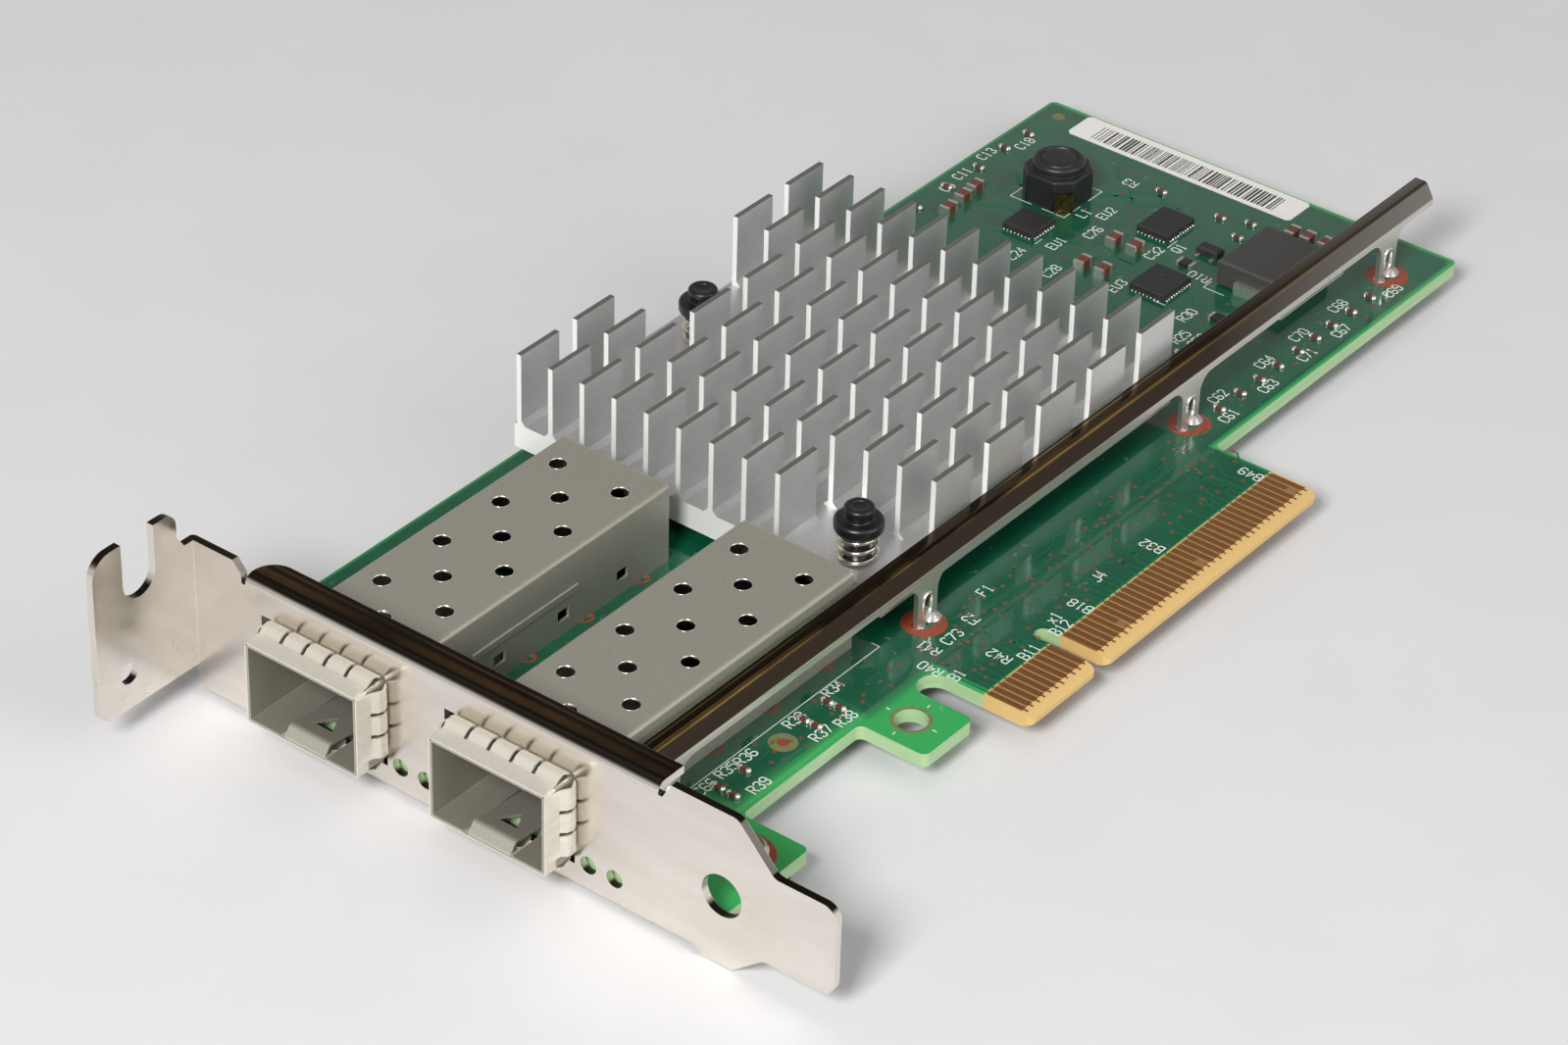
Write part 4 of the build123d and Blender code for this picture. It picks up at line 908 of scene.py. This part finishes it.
# Push pins turned smooth, and round-wire springs, in place of the faceted ones. Profiles are (radius, level)
pinLook = {"places": ((-6.7, 25.8), (15.1, 63.4)), "sides": 40,
           "head": ((0, 6.0), (1.2, 6.0), (1.2, 7.9), (2.25, 7.9), (2.6, 8.4), (2.6, 9.28), (2.4, 9.5),
                    (1.5, 9.5), (1.42, 9.62), (1.42, 10.2), (1.6, 10.34), (1.6, 10.82), (1.42, 11.0),
                    (0.9, 11.0), (0.8, 10.86), (0, 10.86)),
           "shaft": ((0, -1.0), (1.2, -1.0), (1.2, 6.0), (0, 6.0)),
           "barb": ((1.2, -1.0), (1.2, -1.62), (1.75, -1.62), (1.75, -2.07), (0.7875, -3.9)), "slit": 0.5,
           "barbSteps": 12}
coilLook = {"radius": 1.95, "wire": 0.24, "low": 4.94, "high": 7.66, "turns": 3.0, "steps": 40, "sides": 10,
            "ground": 0.12}


def turnPins():
    look = pinLook
    bm = bmesh.new()
    inset = look["slit"] / 2
    for x, y in look["places"]:
        addLathe(bm, x, y, rounded(look["head"]), look["sides"])
        addLathe(bm, x, y, look["shaft"], look["sides"])
        for start in (pi, 0):  # the two halves of the split barb
            half = []
            for radius, level in look["barb"]:
                gap = Vector((radius, 0)).angle(Vector(((radius ** 2 - inset ** 2) ** 0.5, inset)))
                turns = [start + gap + (pi - 2 * gap) * k / look["barbSteps"]
                         for k in range(look["barbSteps"] + 1)]
                half.append([bm.verts.new(card(x + radius * cos(t), y + radius * sin(t), level)) for t in turns])
            joinTube(bm, half[::-1])
    piece = addPiece("pushPins", bm, "blackNylon", turnOut=True)
    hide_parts("push_pins")


def windCoils():
    look = coilLook
    bm = bmesh.new()
    total = int(look["turns"] * look["steps"])
    section = [2 * pi * k / look["sides"] for k in range(look["sides"])]
    for x, y in pinLook["places"]:
        rings = []
        for i in range(total + 1):
            angle = 2 * pi * i / look["steps"]
            rise = min(1.0, max(0.0, (i / total - look["ground"]) / (1 - 2 * look["ground"])))  # ends ground flat
            z = look["low"] + (look["high"] - look["low"]) * rise
            wire = [(look["radius"] + look["wire"] * cos(t), z + look["wire"] * sin(t)) for t in section]
            rings.append([bm.verts.new(card(x + r * cos(angle), y + r * sin(angle), level)) for r, level in wire])
        joinTube(bm, rings, smooth=True)
    piece = addPiece("pinCoils", bm, "springWire", turnOut=True)
    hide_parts("pin_springs")


turnPins()
windCoils()

# Round inductor: an eight-sided foot and a turned cap with a groove
drumLook = {"x": 70.8, "y": 56.1, "side": 7.2, "corner": 1.73, "footHigh": 3.74, "bevel": 0.3, "rounding": 0.12,
            "bevelArea": 1.5e-6, "sides": 48,
            "cap": ((0, 3.5), (3.02, 3.5), (3.02, 4.5), (2.8, 4.78), (2.42, 4.8), (2.34, 4.58), (2.12, 4.56),
                    (2.02, 4.76), (1.7, 4.8), (0, 4.8))}


def turnDrum():
    look = drumLook
    bm = bmesh.new()
    half = look["side"] / 2
    edge = half - look["corner"]
    plan = ((half, -edge), (half, edge), (edge, half), (-edge, half), (-half, edge), (-half, -edge),
            (-edge, -half), (edge, -half))
    low, high = ([bm.verts.new(card(look["x"] + x, look["y"] + y, level)) for x, y in plan]
                 for level in (0.0, look["footHigh"]))
    joinTube(bm, (low, high))
    sharp = [e for e in bm.edges if not all(v in low for v in e.verts)]
    bmesh.ops.bevel(bm, geom=sharp, offset=look["bevel"] * mm, segments=3, affect="EDGES", profile=0.5)
    for face in bm.faces:  # only the narrow faces of the bevel are smooth
        face.smooth = len(face.verts) == 4 and face.calc_area() < look["bevelArea"]
    addLathe(bm, look["x"], look["y"], rounded(look["cap"], look["rounding"]), look["sides"])
    piece = addPiece("drumBody", bm, "ferrite", turnOut=True)
    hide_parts("drum_inductor")


turnDrum()
print("small parts done")

# Camera at the photograph's place, in the card's measures; the turn is in degrees
cameraLook = {"place": (-340.18, -216.90, 293.99), "turn": (55.30492, -1.38391, -51.95371), "lens": 114.98,
              "sensor": 36, "clip": (0.01, 10)}
cameraData = bpy.data.cameras.new("shotCamera")
cameraData.lens = cameraLook["lens"]
cameraData.sensor_width = cameraLook["sensor"]
cameraData.clip_start, cameraData.clip_end = cameraLook["clip"]
camera = addObject("shotCamera", cameraData)
camera.location = card(*cameraLook["place"])
camera.rotation_euler = [radians(angle) for angle in cameraLook["turn"]]
scene.camera = camera

# Pale table, a little glossy, just under the card
tableLook = {"color": srgb(211, 211, 213), "shade": srgb(208, 208, 210), "size": 3.0, "level": -0.00005,
             "squares": 8, "grain": 40.0, "shader": {"Roughness": 0.35, "Specular IOR Level": 0.35}}


def layTable():
    look = tableLook
    bm = bmesh.new()
    bmesh.ops.create_grid(bm, x_segments=look["squares"], y_segments=look["squares"], size=look["size"])
    mesh = meshFrom("tableTop", bm)
    material, tree, shader = newMaterial("tableTop", look["shader"])
    grain = useGroup(tree, grainGroup, scale=look["grain"])
    tree.links.new(mixColor(tree, grain["Mask"], look["color"], look["shade"]), shader.inputs["Base Color"])
    mesh.materials.append(material)
    table = addObject("tableTop", mesh)
    table.location.z = look["level"]


layTable()

# Soft key from the bracket's side and a weak fill; far is the distance in metres
lampLook = {
    "key": {"from": (-0.75, -0.20, 0.63), "far": 0.9, "size": 0.26, "power": 8.4, "color": (1.0, 0.99, 0.975)},
    "fill": {"from": (0.10, -0.9, 0.42), "far": 1.2, "size": 1.0, "power": 6.8, "color": (1.0, 1.0, 0.99)},
}
for name, look in lampLook.items():
    lampData = bpy.data.lights.new(name, "AREA")
    lampData.size = look["size"]
    lampData.energy = look["power"]
    lampData.color = look["color"]
    lamp = addObject(name, lampData)
    direction = Vector(look["from"]).normalized()
    lamp.location = direction * look["far"]
    lamp.rotation_euler = direction.to_track_quat("Z", "Y").to_euler()

# A pale room that darkens above eye height, with a light ceiling: (height of the direction, colour) stops
roomLook = ((0.0, (0.60, 0.595, 0.585)), (0.40, (0.52, 0.515, 0.505)), (0.52, (0.34, 0.33, 0.32)),
            (0.575, (0.10, 0.088, 0.075)), (0.78, (0.12, 0.11, 0.10)), (0.90, (0.56, 0.56, 0.56)))


def paintRoom():
    world = bpy.data.worlds.new("room")
    scene.world = world
    world.use_nodes = True
    tree = world.node_tree
    ramp = addNode(tree, "ShaderNodeValToRGB", {0: axesOf(tree, "ShaderNodeTexCoord", "Generated")[2]})
    stops = ramp.color_ramp.elements
    for height, _ in roomLook[1:-1]:  # the ramp starts with its two end stops
        stops.new(height)
    for stop, (height, color) in zip(stops, roomLook):
        stop.position = height
        stop.color = (*color, 1.0)
    room = tree.nodes["Background"]
    tree.links.new(ramp.outputs[0], room.inputs["Color"])
    room.inputs["Strength"].default_value = 1.0


paintRoom()
scene.view_settings.view_transform = "Standard"
print("camera, table and lights done")
